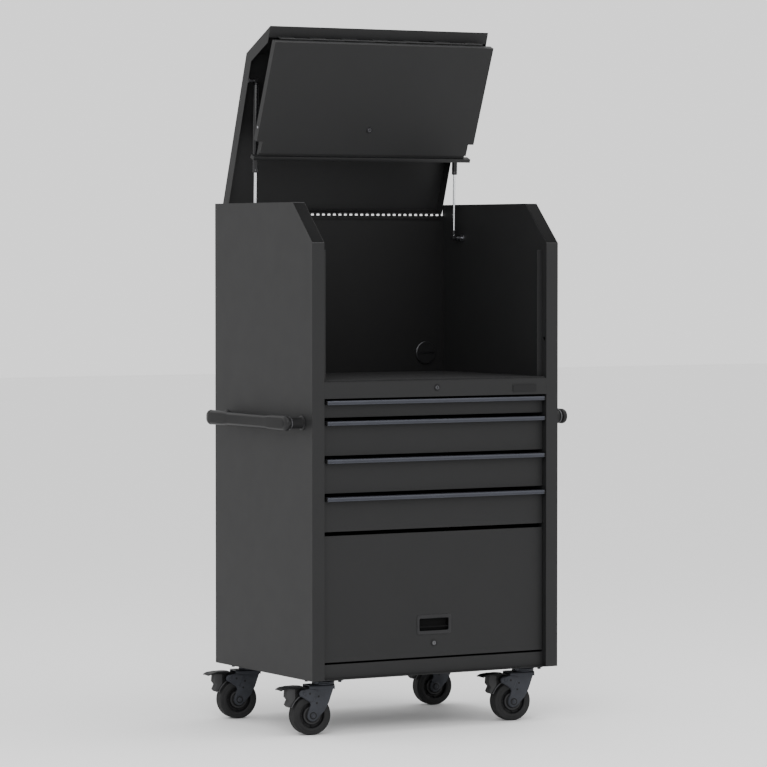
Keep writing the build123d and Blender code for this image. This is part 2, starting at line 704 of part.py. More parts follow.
def caster_pedal():
    """Brake pedal: a bent tread plate, the hub on its pin and the toothed block hung outside the wheel."""
    px, pz = PEDAL_PIVOT
    tread_z = CROWN_Z - 4
    tread = extrude(
        Plane.XZ.offset(-PEDAL_HALF_WIDTH)
        * make_face(
            Polyline(
                (px - 14, tread_z - 5),
                (px - 6, tread_z - 2),
                (px + 16, tread_z),
                (px + 44, tread_z - 1),
                (PEDAL_REACH - 8, tread_z - 5),
                (PEDAL_REACH, tread_z - 10),
                (PEDAL_REACH - 3, tread_z - 12),
                (PEDAL_REACH - 10, tread_z - 9),
                (px + 44, tread_z - 6),
                (px + 16, tread_z - 5),
                (px - 6, tread_z - 7),
                (px - 14, tread_z - 10),
                close=True,
            )
        ),
        amount=2 * PEDAL_HALF_WIDTH,
    )
    toothed_block = extrude(
        Plane.XZ.offset(-PEDAL_BLOCK_HALF)
        * make_face(
            Polyline(
                (px - 6, tread_z - 5),
                (PEDAL_REACH - 27, tread_z - 4),
                (PEDAL_REACH - 25, 123),
                (PEDAL_REACH - 33, 113),
                (PEDAL_REACH - 26, 97),
                (PEDAL_REACH - 33, 90),
                brake_arc_point(22),
                brake_arc_point(34),
                brake_arc_point(46),
                brake_arc_point(57),
                (px - 6, pz - 5),
                close=True,
            )
        ),
        amount=2 * PEDAL_BLOCK_HALF,
    )
    hub = Pos(px, 0, pz) * Rot(90, 0, 0) * Cylinder(7.0, 2 * PEDAL_HALF_WIDTH)
    bore = Pos(px, 0, pz) * Rot(90, 0, 0) * Cylinder(3.0 + RUNNING_FIT, 4 * PEDAL_HALF_WIDTH)
    return tread + toothed_block + hub - bore


def caster_places():
    """The four caster positions by corner name."""
    return {
        "front_left": (-CASTER_X, CASTER_FRONT_Y),
        "front_right": (CASTER_X, CASTER_FRONT_Y),
        "back_left": (-CASTER_X, CASTER_BACK_Y),
        "back_right": (CASTER_X, CASTER_BACK_Y),
    }


# Nodes


def cabinet_nodes():
    """Nodes that are fixed to the cabinet."""
    left = side_panel()
    return {
        "left_side_panel": [left],
        "right_side_panel": [mirror(left, about=Plane.YZ)],
        "hutch_stop_flanges": stop_flanges(),
        "back_panel": [back_panel()],
        "base_pan": [base_pan()],
        "top_rail": [top_rail()],
        "worktop": [worktop()],
        "worktop_mat": [worktop_mat()],
        "divider_shelf": [divider_shelf()],
        "slide_outer_members": slide_outer_members(),
        "door_tracks": door_tracks(),
        "handle_grips": both_sides(handle_grip()),
        "handle_brackets": handle_brackets(),
        "caster_plates": [Pos(x, y, 0) * caster_plate() for x, y in caster_places().values()],
        "grommet_ring": [grommet_ring()],
        "grommet_flap": [grommet_flap()],
        "drawer_lock_body": [lock_body(DRAWER_LOCK_Z, 0, 20)],
        "drawer_lock_plug": [lock_plug(DRAWER_LOCK_Z, 0, 20)],
        "strut_wall_studs": both_sides(strut_wall_stud()),
        "lid_hinge_lower": [hinge_leaf_lower()],
    }


def lid_nodes():
    """Nodes of the lid, its flap and the gas struts."""
    rod = lock_rod()
    cylinder, strut = strut_cylinder(), strut_rod()
    return {
        "lid_shell": [lid_shell()],
        "lid_hinge_upper": [hinge_leaf_upper()],
        "strut_lid_studs": both_sides(strut_lid_stud()),
        "flap_panel": [flap_panel()],
        "flap_lock_body": [flap_at_rest(lock_body(FLAP_LOCK_Z, FLAP_FRONT, 5))],
        "flap_lock_plug": [flap_at_rest(lock_plug(FLAP_LOCK_Z, FLAP_FRONT, 5))],
        "lock_rod_left": [flap_at_rest(rod)],
        "lock_rod_right": [flap_at_rest(mirror(rod, about=Plane.YZ))],
        "strut_cylinder_left": [cylinder],
        "strut_cylinder_right": [mirror(cylinder, about=Plane.YZ)],
        "strut_rod_left": [strut],
        "strut_rod_right": [mirror(strut, about=Plane.YZ)],
    }


def drawer_nodes():
    """Nodes of the drawers and of the bottom door."""
    nodes = {}
    for number, span in enumerate(DRAWER_SPANS, start=1):
        nodes[f"drawer_{number}_box"] = [drawer_box(span)]
        nodes[f"drawer_{number}_pull"] = [drawer_pull(span)]
        nodes[f"slide_{number}_middle"] = slide_middle(span)
    nodes["door_panel"] = [door_panel()]
    nodes["door_handle_cup"] = [door_handle_cup()]
    nodes["door_lock_plug"] = [lock_plug(DOOR_LOCK_Z, FACE_SETBACK, DOOR_THICKNESS)]
    nodes["door_carriage"] = [door_carriage()]
    return nodes


def caster_nodes():
    """Nodes of the four casters."""
    nodes = {}
    fork, wheel, pedal = caster_fork(), caster_wheel(), caster_pedal()
    for corner, (x, y) in caster_places().items():
        nodes[f"caster_{corner}_fork"] = [caster_place(fork, x, y)]
        nodes[f"caster_{corner}_wheel"] = [caster_place(wheel, x, y)]
        nodes[f"caster_{corner}_pedal"] = [caster_place(pedal, x, y)]
    return nodes


def main():
    """Write one STEP file for each node."""
    os.makedirs("parts", exist_ok=True)
    nodes = {**cabinet_nodes(), **lid_nodes(), **drawer_nodes(), **caster_nodes()}
    for name, shapes in nodes.items():
        solids = [solid for shape in shapes for solid in shape.solids()]
        placed = [solid.moved(Location(SHIFT)) for solid in solids]
        export_step(Compound(children=placed) if len(placed) > 1 else placed[0], f"parts/{name}.step")


main()
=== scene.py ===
"""Looks of the rolling tool chest: finishes, detail pieces, floor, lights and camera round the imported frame.

Pieces are written in millimetres in the cabinet's own frame: x from its middle, y from the front face of its
corner posts and z from the floor. Pieces of the lid and of its flap are written as they lie when both are
shut, those of a caster in the caster's frame with its pedal along x, and those of a gas strut in a frame that
hangs from its upper eye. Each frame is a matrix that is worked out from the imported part.
"""
import json
import math

import bmesh
import bpy
from mathutils import Matrix, Vector


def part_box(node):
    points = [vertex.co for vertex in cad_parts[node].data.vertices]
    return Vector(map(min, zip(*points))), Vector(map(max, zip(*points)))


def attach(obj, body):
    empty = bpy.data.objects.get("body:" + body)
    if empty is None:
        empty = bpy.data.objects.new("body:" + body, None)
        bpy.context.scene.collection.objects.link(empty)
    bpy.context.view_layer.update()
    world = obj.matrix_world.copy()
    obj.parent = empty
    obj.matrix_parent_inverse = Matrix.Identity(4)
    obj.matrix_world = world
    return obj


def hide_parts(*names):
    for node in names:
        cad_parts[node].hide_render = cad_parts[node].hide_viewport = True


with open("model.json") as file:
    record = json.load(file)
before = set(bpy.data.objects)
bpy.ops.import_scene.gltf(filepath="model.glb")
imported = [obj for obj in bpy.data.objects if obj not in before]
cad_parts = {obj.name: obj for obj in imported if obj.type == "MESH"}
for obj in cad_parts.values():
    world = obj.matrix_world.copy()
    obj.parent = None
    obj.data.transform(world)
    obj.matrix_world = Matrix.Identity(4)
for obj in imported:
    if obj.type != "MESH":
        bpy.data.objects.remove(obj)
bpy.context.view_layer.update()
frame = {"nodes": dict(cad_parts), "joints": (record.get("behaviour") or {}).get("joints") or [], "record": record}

# Frames

MM = 0.001
JOINTS = {joint["name"]: joint for joint in frame["joints"]}


def joint_point(name):
    """Where a joint's axis stands at rest, in the row frame."""
    return Vector(JOINTS[name]["pos_m"])


def turn_about(point, angle, axis="X"):
    """Turn about a line along an axis through a point."""
    return Matrix.Translation(point) @ Matrix.Rotation(angle, 4, axis) @ Matrix.Translation(-point)


def extent(node):
    """Lowest and highest corner of a CAD node in the cabinet's frame, in millimetres."""
    low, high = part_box(node)
    return (low - ORIGIN) / MM, (high - ORIGIN) / MM


ORIGIN = Vector(((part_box("left_side_panel")[0].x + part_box("right_side_panel")[1].x) / 2, 0, 0))
ORIGIN.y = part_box("left_side_panel")[0].y
CABINET = Matrix.Translation(ORIGIN) @ Matrix.Scale(MM, 4)
LID_ANGLE = math.radians(JOINTS["lid_hinge"]["range_deg"][1])
FOLD_ANGLE = math.radians(JOINTS["flap_hinge"]["range_deg"][1])
LID = turn_about(joint_point("lid_hinge"), -LID_ANGLE) @ CABINET
FLAP = turn_about(joint_point("flap_hinge"), FOLD_ANGLE) @ LID
CORNERS = ("front_left", "front_right", "back_left", "back_right")
SIDES = {"left": -1, "right": 1}


def caster_frame(corner):
    """A caster's own frame: x along its pedal, z up from the floor."""
    centre, wheel = joint_point(f"caster_{corner}_swivel"), joint_point(f"wheel_{corner}_spin")
    heading = math.atan2(wheel.y - centre.y, wheel.x - centre.x)
    foot = Vector((centre.x, centre.y, 0))
    return Matrix.Translation(foot) @ Matrix.Rotation(heading, 4, "Z") @ Matrix.Scale(MM, 4)


def strut_frame(side):
    """A gas strut's frame: its origin is the upper eye and its z runs up along the strut."""
    along = Vector(JOINTS[f"strut_{side}_stroke"]["axis"])
    lean = math.atan2(-along.y, along.z)
    eye = joint_point(f"strut_{side}_pivot")
    return Matrix.Translation(eye) @ Matrix.Rotation(lean, 4, "X") @ Matrix.Scale(MM, 4)


# Driving dimensions, in millimetres, read from the frame

HALF_WIDTH = extent("right_side_panel")[1].x
INNER_X = -extent("left_side_panel")[1].x
BODY_BOTTOM = extent("left_side_panel")[0].z
TOP = extent("left_side_panel")[1].z
HINGE_Y = (joint_point("lid_hinge").y - ORIGIN.y) / MM
HINGE_Z = joint_point("lid_hinge").z / MM
MAT_LOW, MAT_HIGH = extent("worktop_mat")
FACE_Y = extent("door_panel")[0].y + 2
SHEET = 1.5
BACK_Y = extent("back_panel")[0].y
BACK_TOP = extent("back_panel")[1].z

SWIVEL, AXLE = joint_point("caster_front_left_swivel"), joint_point("wheel_front_left_spin")
PEDAL_PIN = joint_point("brake_front_left_press")
TRAIL = (AXLE.xy - SWIVEL.xy).length / MM
WHEEL_RADIUS = AXLE.z / MM
PIVOT_X, PIVOT_Z = (PEDAL_PIN.xy - SWIVEL.xy).length / MM, PEDAL_PIN.z / MM
PEDAL_REACH = 153.0
CROWN_Z = SWIVEL.z / MM
FORK_OUTER, FORK_INNER = 31.0, 27.5

# Driving dimensions that the frame doesn't give

SLANT_RUN, SLANT_DROP = 130.0, 129.0
DRAWER_LOCK_Z, DOOR_LOCK_Z = 1096.5, 276
FLAP_FACE, DOOR_FACE = 2, 20
STRUT_TUBE, STRUT_SPAN = 299.0, 511.0
HINGE_SCREW_PITCH = 129.0
SMOOTH_ANGLE = 32
CAMERA_PLACE = Vector((-6.2809, -10.4945, 1.5526))
CAMERA_TILT, CAMERA_HEADING, CAMERA_LENS = 2.077, -30.095, 179.7

# Mesh helpers


def skin(bm, rings, loop=False):
    """Open skin over a list of rings that all have the same number of points; returns the rings' vertices."""
    rows = [[bm.verts.new(point) for point in ring] for ring in rings]
    following = rows[1:] + (rows[:1] if loop else [])
    for row, after in zip(rows, following):
        for i in range(len(row)):
            j = (i + 1) % len(row)
            bm.faces.new((row[i], row[j], after[j], after[i]))
    return rows


def loft(bm, rings, loop=False):
    """Closed skin over a list of rings: capped at both ends, or joined into a loop."""
    rows = skin(bm, rings, loop)
    if not loop:
        bm.faces.new(rows[0])
        bm.faces.new(rows[-1])
    return [vert for row in rows for vert in row]


def axis_point(axis, along, u, v):
    """A point at `along` on an axis, with u and v on the two other axes in their usual order."""
    return {"X": (along, u, v), "Y": (u, along, v), "Z": (u, v, along)}[axis]


def lathe(bm, profile, centre, axis, sides=48, loop=False):
    """Turned shape: profile is (radius, place along the axis) pairs and centre is where the axis starts."""
    rings = []
    for radius, along in profile:
        ring = []
        for i in range(sides):
            angle = 2 * math.pi * i / sides
            offset = axis_point(axis, along, radius * math.cos(angle), radius * math.sin(angle))
            ring.append(Vector(centre) + Vector(offset))
        rings.append(ring)
    return loft(bm, rings, loop=loop)


def prism(bm, outline, axis, start, end):
    """Outline of (u, v) points pushed along an axis from start to end."""
    rings = [[axis_point(axis, along, u, v) for u, v in outline] for along in (start, end)]
    return loft(bm, rings)


def soft_edges(bm, verts, width, segments=2, angle=25):
    """Round the sharp edges between some vertices."""
    inside = set(verts)
    bm.normal_update()
    sharp = [
        edge
        for edge in bm.edges
        if edge.verts[0] in inside
        and edge.verts[1] in inside
        and len(edge.link_faces) == 2
        and edge.calc_face_angle(0) > math.radians(angle)
    ]
    bmesh.ops.bevel(
        bm, geom=sharp, offset=width, segments=segments, profile=0.5, affect="EDGES", clamp_overlap=True
    )


def box(bm, x0, x1, y0, y1, z0, z1, width=0.0):
    """A box between two corners with rounded edges."""
    verts = prism(bm, [(y0, z0), (y1, z0), (y1, z1), (y0, z1)], "X", x0, x1)
    if width:
        soft_edges(bm, verts, width)


def arc(centre, radius, first, last, steps):
    """Points of an arc in a plane, with angles in degrees."""
    points = []
    for i in range(steps + 1):
        angle = math.radians(first + (last - first) * i / steps)
        points.append((centre[0] + radius * math.cos(angle), centre[1] + radius * math.sin(angle)))
    return points


def rounded_oblong(width, height, radius, centre=(0, 0), steps=5):
    """Outline of a rectangle with round corners."""
    x, y = width / 2 - radius, height / 2 - radius
    points = []
    for dx, dy, first in ((x, y, 0), (-x, y, 90), (-x, -y, 180), (x, -y, 270)):
        points += arc((centre[0] + dx, centre[1] + dy), radius, first, first + 90, steps)
    return points


def pan_head(bm, centre, axis, out, radius=3.6, height=2.0):
    """Low screw or rivet head that stands out from a surface in direction `out` along an axis."""
    profile = [(radius, 0), (radius, out * 0.35 * height), (radius * 0.8, out * 0.85 * height)]
    profile += [(radius * 0.45, out * height), (radius * 0.4, out * 0.55 * height)]
    lathe(bm, profile, centre, axis, sides=20)


def hex_head(bm, centre, axis, out, across=13.0, height=5.0):
    """Hexagon bolt head on a washer."""
    lathe(bm, [(across * 0.75, 0), (across * 0.75, out * 1.0), (across * 0.7, out * 1.3)], centre, axis, 28)
    corner = across / math.sqrt(3)
    profile = [(corner, out * 1.3), (corner, out * (height - 0.8)), (corner * 0.88, out * height)]
    lathe(bm, profile, centre, axis, sides=6)


def piece(name, bm, place, body, finish, replaced=()):
    """Make a piece from a mesh in millimetres: put it in its frame, give it its finish and its body."""
    bmesh.ops.recalc_face_normals(bm, faces=bm.faces)
    mesh = bpy.data.meshes.new(name)
    bm.to_mesh(mesh)
    bm.free()
    mesh.transform(place)
    mesh.shade_smooth()
    mesh.set_sharp_from_angle(angle=math.radians(SMOOTH_ANGLE))
    obj = bpy.data.objects.new(name, mesh)
    bpy.context.scene.collection.objects.link(obj)
    obj.data.materials.append(FINISHES[finish])
    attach(obj, body)
    if replaced:
        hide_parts(*replaced)
    return obj


# Finishes


def shader(name, roughness, metallic=0.0):
    """A new material with its node tree and its main shader."""
    material = bpy.data.materials.new(name)
    material.use_nodes = True
    tree = material.node_tree
    bsdf = tree.nodes["Principled BSDF"]
    bsdf.inputs["Metallic"].default_value = metallic
    bsdf.inputs["Roughness"].default_value = roughness
    return material, tree, bsdf


def node(tree, kind, **values):
    """Add a node; values that name an input set it, and others set the node's own property."""
    made = tree.nodes.new(kind)
    for key, value in values.items():
        if key in made.inputs:
            made.inputs[key].default_value = value
        else:
            setattr(made, key, value)
    return made


def noise(tree, size, detail=3.0, stretch=(1, 1, 1), rough=0.55):
    """Noise whose features are about `size` millimetres, stretched along the axes."""
    place = node(tree, "ShaderNodeTexCoord")
    mapping = node(tree, "ShaderNodeMapping")
    mapping.inputs["Scale"].default_value = [1 / factor for factor in stretch]
    made = node(tree, "ShaderNodeTexNoise", Scale=1 / (size * MM), Detail=detail, Roughness=rough)
    tree.links.new(place.outputs["Object"], mapping.inputs["Vector"])
    tree.links.new(mapping.outputs["Vector"], made.inputs["Vector"])
    return made.outputs["Fac"]


def span(tree, source, low, high, from_low=0.3, from_high=0.7):
    """Map a value that mostly runs from from_low to from_high on to low to high."""
    made = node(tree, "ShaderNodeMapRange")
    made.inputs["From Min"].default_value = from_low
    made.inputs["From Max"].default_value = from_high
    made.inputs["To Min"].default_value = low
    made.inputs["To Max"].default_value = high
    tree.links.new(source, made.inputs["Value"])
    return made.outputs["Result"]


def blend(tree, factor, dark, light):
    """Mix two colours by a factor."""
    made = node(tree, "ShaderNodeMix", data_type="RGBA")
    made.inputs["A"].default_value = (*dark, 1)
    made.inputs["B"].default_value = (*light, 1)
    tree.links.new(factor, made.inputs["Factor"])
    return made.outputs["Result"]


def grey_pair(colour, swing):
    """A colour a little darker and a little lighter than the given one."""
    return [c * (1 - swing) for c in colour], [min(1, c * (1 + swing)) for c in colour]


def surface(name, colour, roughness, metallic=0.0, cloud=90, swing=0.12, grain=1.2, bump=0.05,
            rough_swing=0.06, stretch=(1, 1, 1), smear=0, specular=0.2):
    """Finish with clouded colour, a grain that is felt as bump and a roughness that varies with both."""
    material, tree, bsdf = shader(name, roughness, metallic)
    bsdf.inputs["Specular IOR Level"].default_value = specular if metallic < 0.5 else 0.5
    clouds = noise(tree, cloud, 4)
    tint = blend(tree, span(tree, clouds, 0, 1), *grey_pair(colour, swing))
    tree.links.new(tint, bsdf.inputs["Base Color"])
    fine = noise(tree, grain, 3, stretch)
    worn = noise(tree, smear, 5) if smear else fine
    rough = span(tree, worn, roughness - rough_swing, roughness + rough_swing)
    tree.links.new(rough, bsdf.inputs["Roughness"])
    relief = node(tree, "ShaderNodeBump", Strength=1.0, Distance=bump * MM)
    tree.links.new(fine, relief.inputs["Height"])
    tree.links.new(relief.outputs["Normal"], bsdf.inputs["Normal"])
    return material


def powder_coat(name, colour, roughness, grain=1.6, bump=0.06):
    """Fine-textured powder coat: pebbled grain, a few darker flecks and a faint haze of handling."""
    material, tree, bsdf = shader(name, roughness)
    clouds = span(tree, noise(tree, 160, 5), 0, 1)
    tint = blend(tree, clouds, *grey_pair(colour, 0.03))
    flecks = span(tree, noise(tree, 2.2, 2), 0, 1, 0.62, 0.72)
    specked = node(tree, "ShaderNodeMix", data_type="RGBA")
    specked.inputs["B"].default_value = (*[c * 0.75 for c in colour], 1)
    tree.links.new(flecks, specked.inputs["Factor"])
    tree.links.new(tint, specked.inputs["A"])
    tree.links.new(specked.outputs["Result"], bsdf.inputs["Base Color"])
    rough = span(tree, noise(tree, 60, 6), roughness - 0.02, roughness + 0.02)
    tree.links.new(rough, bsdf.inputs["Roughness"])
    pebbles = noise(tree, grain, 2)
    relief = node(tree, "ShaderNodeBump", Strength=1.0, Distance=bump * MM)
    tree.links.new(pebbles, relief.inputs["Height"])
    tree.links.new(relief.outputs["Normal"], bsdf.inputs["Normal"])
    bsdf.inputs["Specular IOR Level"].default_value = 0.2
    return material


FINISHES = {
    "graphite_paint": powder_coat("graphite_paint", (0.0135, 0.0136, 0.014), 0.5),
    "black_paint": powder_coat("black_paint", (0.006, 0.006, 0.0063), 0.6),
    "mat": surface("mat", (0.011, 0.011, 0.0115), 0.85, cloud=40, swing=0.15, grain=0.8, bump=0.08),
    "pull_aluminium": surface(
        "pull_aluminium", (0.062, 0.065, 0.078), 0.42, 0.85, swing=0.06, grain=0.7, bump=0.01,
        stretch=(60, 1, 1)
    ),
    "zinc_steel": surface(
        "zinc_steel", (0.32, 0.32, 0.34), 0.34, 1.0, cloud=12, swing=0.2, grain=2.5, bump=0.02
    ),
    "chrome": surface("chrome", (0.60, 0.61, 0.63), 0.15, 1.0, swing=0.03, grain=6, bump=0.005, smear=14),
    "black_plastic": surface("black_plastic", (0.0085, 0.0085, 0.009), 0.42, grain=0.9, bump=0.04, swing=0.1),
    "handle_grip": surface("handle_grip", (0.0105, 0.0105, 0.011), 0.45, grain=0.6, bump=0.05, swing=0.12),
    "caster_steel": surface("caster_steel", (0.03, 0.032, 0.038), 0.4, 0.35, cloud=25, grain=1.4, bump=0.04),
    "tyre": surface("tyre", (0.012, 0.012, 0.0125), 0.68, cloud=30, swing=0.18, grain=1.1, bump=0.08),
    "lock_steel": surface("lock_steel", (0.07, 0.07, 0.075), 0.34, 0.9, swing=0.08, grain=0.8, bump=0.02),
    "black_lock": surface("black_lock", (0.012, 0.012, 0.013), 0.32, 0.4, swing=0.05, grain=1.0, bump=0.01),
    "strut_black": surface(
        "strut_black", (0.006, 0.006, 0.007), 0.28, swing=0.05, grain=1.2, bump=0.01, specular=0.35
    ),
    "bright_rod": surface("bright_rod", (0.62, 0.63, 0.65), 0.2, 1.0, swing=0.02, grain=3, bump=0.003),
    "hinge_zinc": surface("hinge_zinc", (0.2, 0.2, 0.21), 0.35, 1.0, cloud=10, grain=2.0, bump=0.02),
    "caster_grey": surface("caster_grey", (0.02, 0.02, 0.021), 0.45, grain=1.0, bump=0.03),
    "brake_grey": surface("brake_grey", (0.03, 0.03, 0.031), 0.5, grain=1.0, bump=0.04),
    "cup_bezel": surface("cup_bezel", (0.017, 0.017, 0.018), 0.4, grain=0.9, bump=0.03),
    "grip_inlay": surface("grip_inlay", (0.0065, 0.0065, 0.0068), 0.6, grain=0.6, bump=0.05),
    # Near-black finish that paints shade: the strips on the walls' slants and the recessed cup of the door pull.
    "painted_shade_black": surface("painted_shade_black", (0.002, 0.002, 0.0022), 0.7, grain=0.8, bump=0.05, specular=0.1),
    "pedal_black": surface("pedal_black", (0.0045, 0.0045, 0.005), 0.4, grain=0.9, bump=0.03),
    "band_steel": surface("band_steel", (0.11, 0.11, 0.115), 0.4, 0.9, grain=0.9, bump=0.02),
    "nut_black_and_hole_shade": surface("nut_black_and_hole_shade", (0.002, 0.002, 0.0022), 0.45, grain=0.9, bump=0.02),
    "collar_steel": surface("collar_steel", (0.09, 0.09, 0.095), 0.4, 0.9, grain=0.9, bump=0.02),
    "hub_plastic": surface("hub_plastic", (0.004, 0.004, 0.0045), 0.5, grain=0.8, bump=0.03),
}


def soften(node_name, width=0.6, angle=35, segments=2):
    """Round the sharp edges of a CAD node that stays, without touching its mesh."""
    obj = frame["nodes"][node_name]
    weld = obj.modifiers.new("weld", "WELD")
    weld.merge_threshold = 0.02 * MM
    flat = obj.modifiers.new("flat_faces", "DECIMATE")
    flat.decimate_type = "DISSOLVE"
    flat.angle_limit = math.radians(1)
    bevel = obj.modifiers.new("soft_edges", "BEVEL")
    bevel.width = width * MM
    bevel.segments = segments
    bevel.limit_method = "ANGLE"
    bevel.angle_limit = math.radians(angle)
    bevel.miter_outer = "MITER_ARC"
    bevel.harden_normals = True


def dress_cad_nodes():
    """Give each CAD node the finish of its slot and soften the edges of those that stay in sight."""
    for part in frame["record"]["subparts"]:
        mesh = frame["nodes"][part["node"]].data
        mesh.materials.clear()
        mesh.materials.append(FINISHES[part["material_slot"]])
    for name in ("left_side_panel", "right_side_panel", "lid_shell", "flap_panel", "door_panel"):
        soften(name, 0.7)
    for number in range(1, 5):
        soften(f"drawer_{number}_box", 0.7)
    for name in ("hutch_stop_flanges", "top_rail", "base_pan"):
        soften(name, 0.6)


dress_cad_nodes()

# Cabinet


def worktop_mat():
    """Ribbed mat: a sheet with round corners and fine ribs across it."""
    low, high = MAT_LOW, MAT_HIGH
    rib, rise, border = 7.0, 0.7, 14.0
    bm = bmesh.new()
    stop_low, stop_high = extent("hutch_stop_flanges")
    notch_x, notch_y = low.x + 20, (stop_low.y - 1, stop_high.y + 1)
    right = [(high.x, notch_y[0]), (-notch_x, notch_y[0]), (-notch_x, notch_y[1]), (high.x, notch_y[1])]
    left = [(-x, y) for x, y in reversed(right)]
    near, far = low.y + 8, high.y - 8
    centres = [(1, far, 0), (-1, far, 90), (-1, near, 180), (1, near, 270)]
    corners = [arc((sx * (high.x - 8), y), 8, first, first + 90, 5) for sx, y, first in centres]
    outline = corners[3] + right + corners[0] + corners[1] + left + corners[2]
    verts = prism(bm, outline, "Z", low.z, high.z - rise)
    soft_edges(bm, verts, 0.8)
    profile = [(low.y + border, high.z - rise - 0.4)]
    y = low.y + border
    while y + rib < high.y - border:
        for step, lift in ((0.2, 0), (0.4, 1), (0.8, 1), (1.0, 0)):
            profile.append((y + rib * step, high.z - rise * (1 - lift)))
        y += rib
    profile.append((y, high.z - rise - 0.4))
    prism(bm, profile, "X", low.x + 24, high.x - 24)
    piece("worktop_mat_ribbed", bm, CABINET, "cabinet", "mat", ["worktop_mat"])


def grommet():
    """Cable grommet: rounded flange with its sleeve, a two-part cover with a slot between, and a steel ring and
    strip that paint the highlights of the cover's rim and slot edge.
    """
    ring_low, ring_high = extent("grommet_ring")
    centre = ((ring_low.x + ring_high.x) / 2, 0, (ring_low.z + ring_high.z) / 2)
    radius, face, wall = (ring_high.x - ring_low.x) / 2, ring_low.y, BACK_Y
    bm = bmesh.new()
    profile = [(28, ring_high.y), (28, wall - 2), (35.5, wall - 2), (36.6, wall - 3.4)]
    profile += [(radius - 1, wall - 3), (radius, wall - 1.6), (radius, wall)]
    profile += [(32.4, wall), (32.4, ring_high.y)]
    lathe(bm, profile, centre, "Y", 72, loop=True)
    half_cover(bm, centre, 35.2, face, wall - 3, upper=False)
    piece("cable_grommet_ring", bm, CABINET, "cabinet", "black_plastic", ["grommet_ring"])
    bm = bmesh.new()
    half_cover(bm, centre, 35.2, face, wall - 3.4, upper=True)
    piece("cable_grommet_cover", bm, CABINET, "grommet_cover", "black_plastic", ["grommet_flap"])
    bm = bmesh.new()
    # Painted highlight: this steel ring round the covers and the steel strip along the slot stand for the bright
    # rim and the bright line on the cover's edge.
    rim_highlight = [(28, face + 2.2), (36.2, face + 2.2), (37.4, face + 2.9), (38.2, face + 4.2), (37, face + 4.4)]
    lathe(bm, rim_highlight, centre, "Y", 72, loop=True)
    box(bm, centre[0] - 27, centre[0] + 27, face + 0.3, face + 1.6, centre[2] - 0.65, centre[2] + 0.5, 0.2)
    piece("cable_grommet_highlight_strip", bm, CABINET, "cabinet", "lock_steel")


def half_cover(bm, centre, radius, y0, y1, upper):
    """Half disc with a shallow dished face and a raised rib along its straight edge."""
    sign = 1 if upper else -1
    outline = arc((centre[0], centre[2]), radius, 0, 180 * sign, 28)
    outline = [(x, z + sign * 0.6) for x, z in outline]
    verts = prism(bm, outline, "Y", y0 + 1.2, y1)
    soft_edges(bm, verts, 0.7)
    ring = arc((centre[0], centre[2]), radius - 3, 6 * sign, 174 * sign, 28)
    ring += arc((centre[0], centre[2]), radius - 5.5, 174 * sign, 6 * sign, 28)
    verts = prism(bm, ring, "Y", y0 + 0.3, y0 + 1.6)
    soft_edges(bm, verts, 0.4)
    edge = centre[2] + sign * 0.8
    z0, z1 = sorted((edge, edge + sign * 3.2))
    box(bm, centre[0] - radius + 4, centre[0] + radius - 4, y0, y0 + 2, z0, z1, 0.6)


def hinge():
    """Long hinge: two leaves whose bright and black knuckles alternate, the pin and the screws."""
    count, half = 77, extent("lid_hinge_lower")[1].x
    pitch = 2 * half / count
    lower, upper, bright, pin = bmesh.new(), bmesh.new(), bmesh.new(), bmesh.new()
    for i in range(count):
        x0, x1 = -half + i * pitch + 0.25, -half + (i + 1) * pitch - 0.25
        target = lower if i % 2 == 0 else bright
        outer = 2.7 if i % 2 == 0 else 1.8
        lathe(target, knuckle_profile(x0, x1, outer), (0, HINGE_Y, HINGE_Z), "X", 20, loop=True)
        if i % 2 == 0:
            box(lower, x0, x1, BACK_Y - SHEET, BACK_Y, BACK_TOP - 4, HINGE_Z - 1.5)
        else:
            box(upper, x0, x1, BACK_Y, BACK_Y + SHEET, HINGE_Z + 1.5, HINGE_Z + 7)
    box(lower, -half, half, BACK_Y - SHEET, BACK_Y, HINGE_Z - 22, BACK_TOP - 3, 0.3)
    box(upper, -half, half, BACK_Y - 1, BACK_Y + 0.5, HINGE_Z + 5, HINGE_Z + 22, 0.3)
    lathe(pin, [(1.4, -half - 1), (1.4, half + 1)], (0, HINGE_Y, HINGE_Z), "X", 16)
    for i in range(7):
        x = (i - 3) * HINGE_SCREW_PITCH
        pan_head(lower, (x, BACK_Y - SHEET, HINGE_Z - 14), "Y", -1, 3.4, 1.6)
        pan_head(upper, (x, BACK_Y - 1, HINGE_Z + 14), "Y", -1, 3.4, 1.6)
    piece("lid_hinge_fixed_leaf", lower, CABINET, "cabinet", "black_paint", ["lid_hinge_lower"])
    piece("lid_hinge_moving_leaf", upper, LID, "lid", "black_paint", ["lid_hinge_upper"])
    piece("lid_hinge_bright_knuckles", bright, LID, "lid", "hinge_zinc")
    piece("lid_hinge_pin", pin, CABINET, "cabinet", "zinc_steel")


def knuckle_profile(x0, x1, outer):
    """Section of one hinge knuckle with slightly rounded ends."""
    bore, curve = 1.5, 0.3
    first_end = [(bore, x0), (outer - curve, x0), (outer, x0 + curve)]
    return first_end + [(outer, x1 - curve), (outer - curve, x1), (bore, x1)]


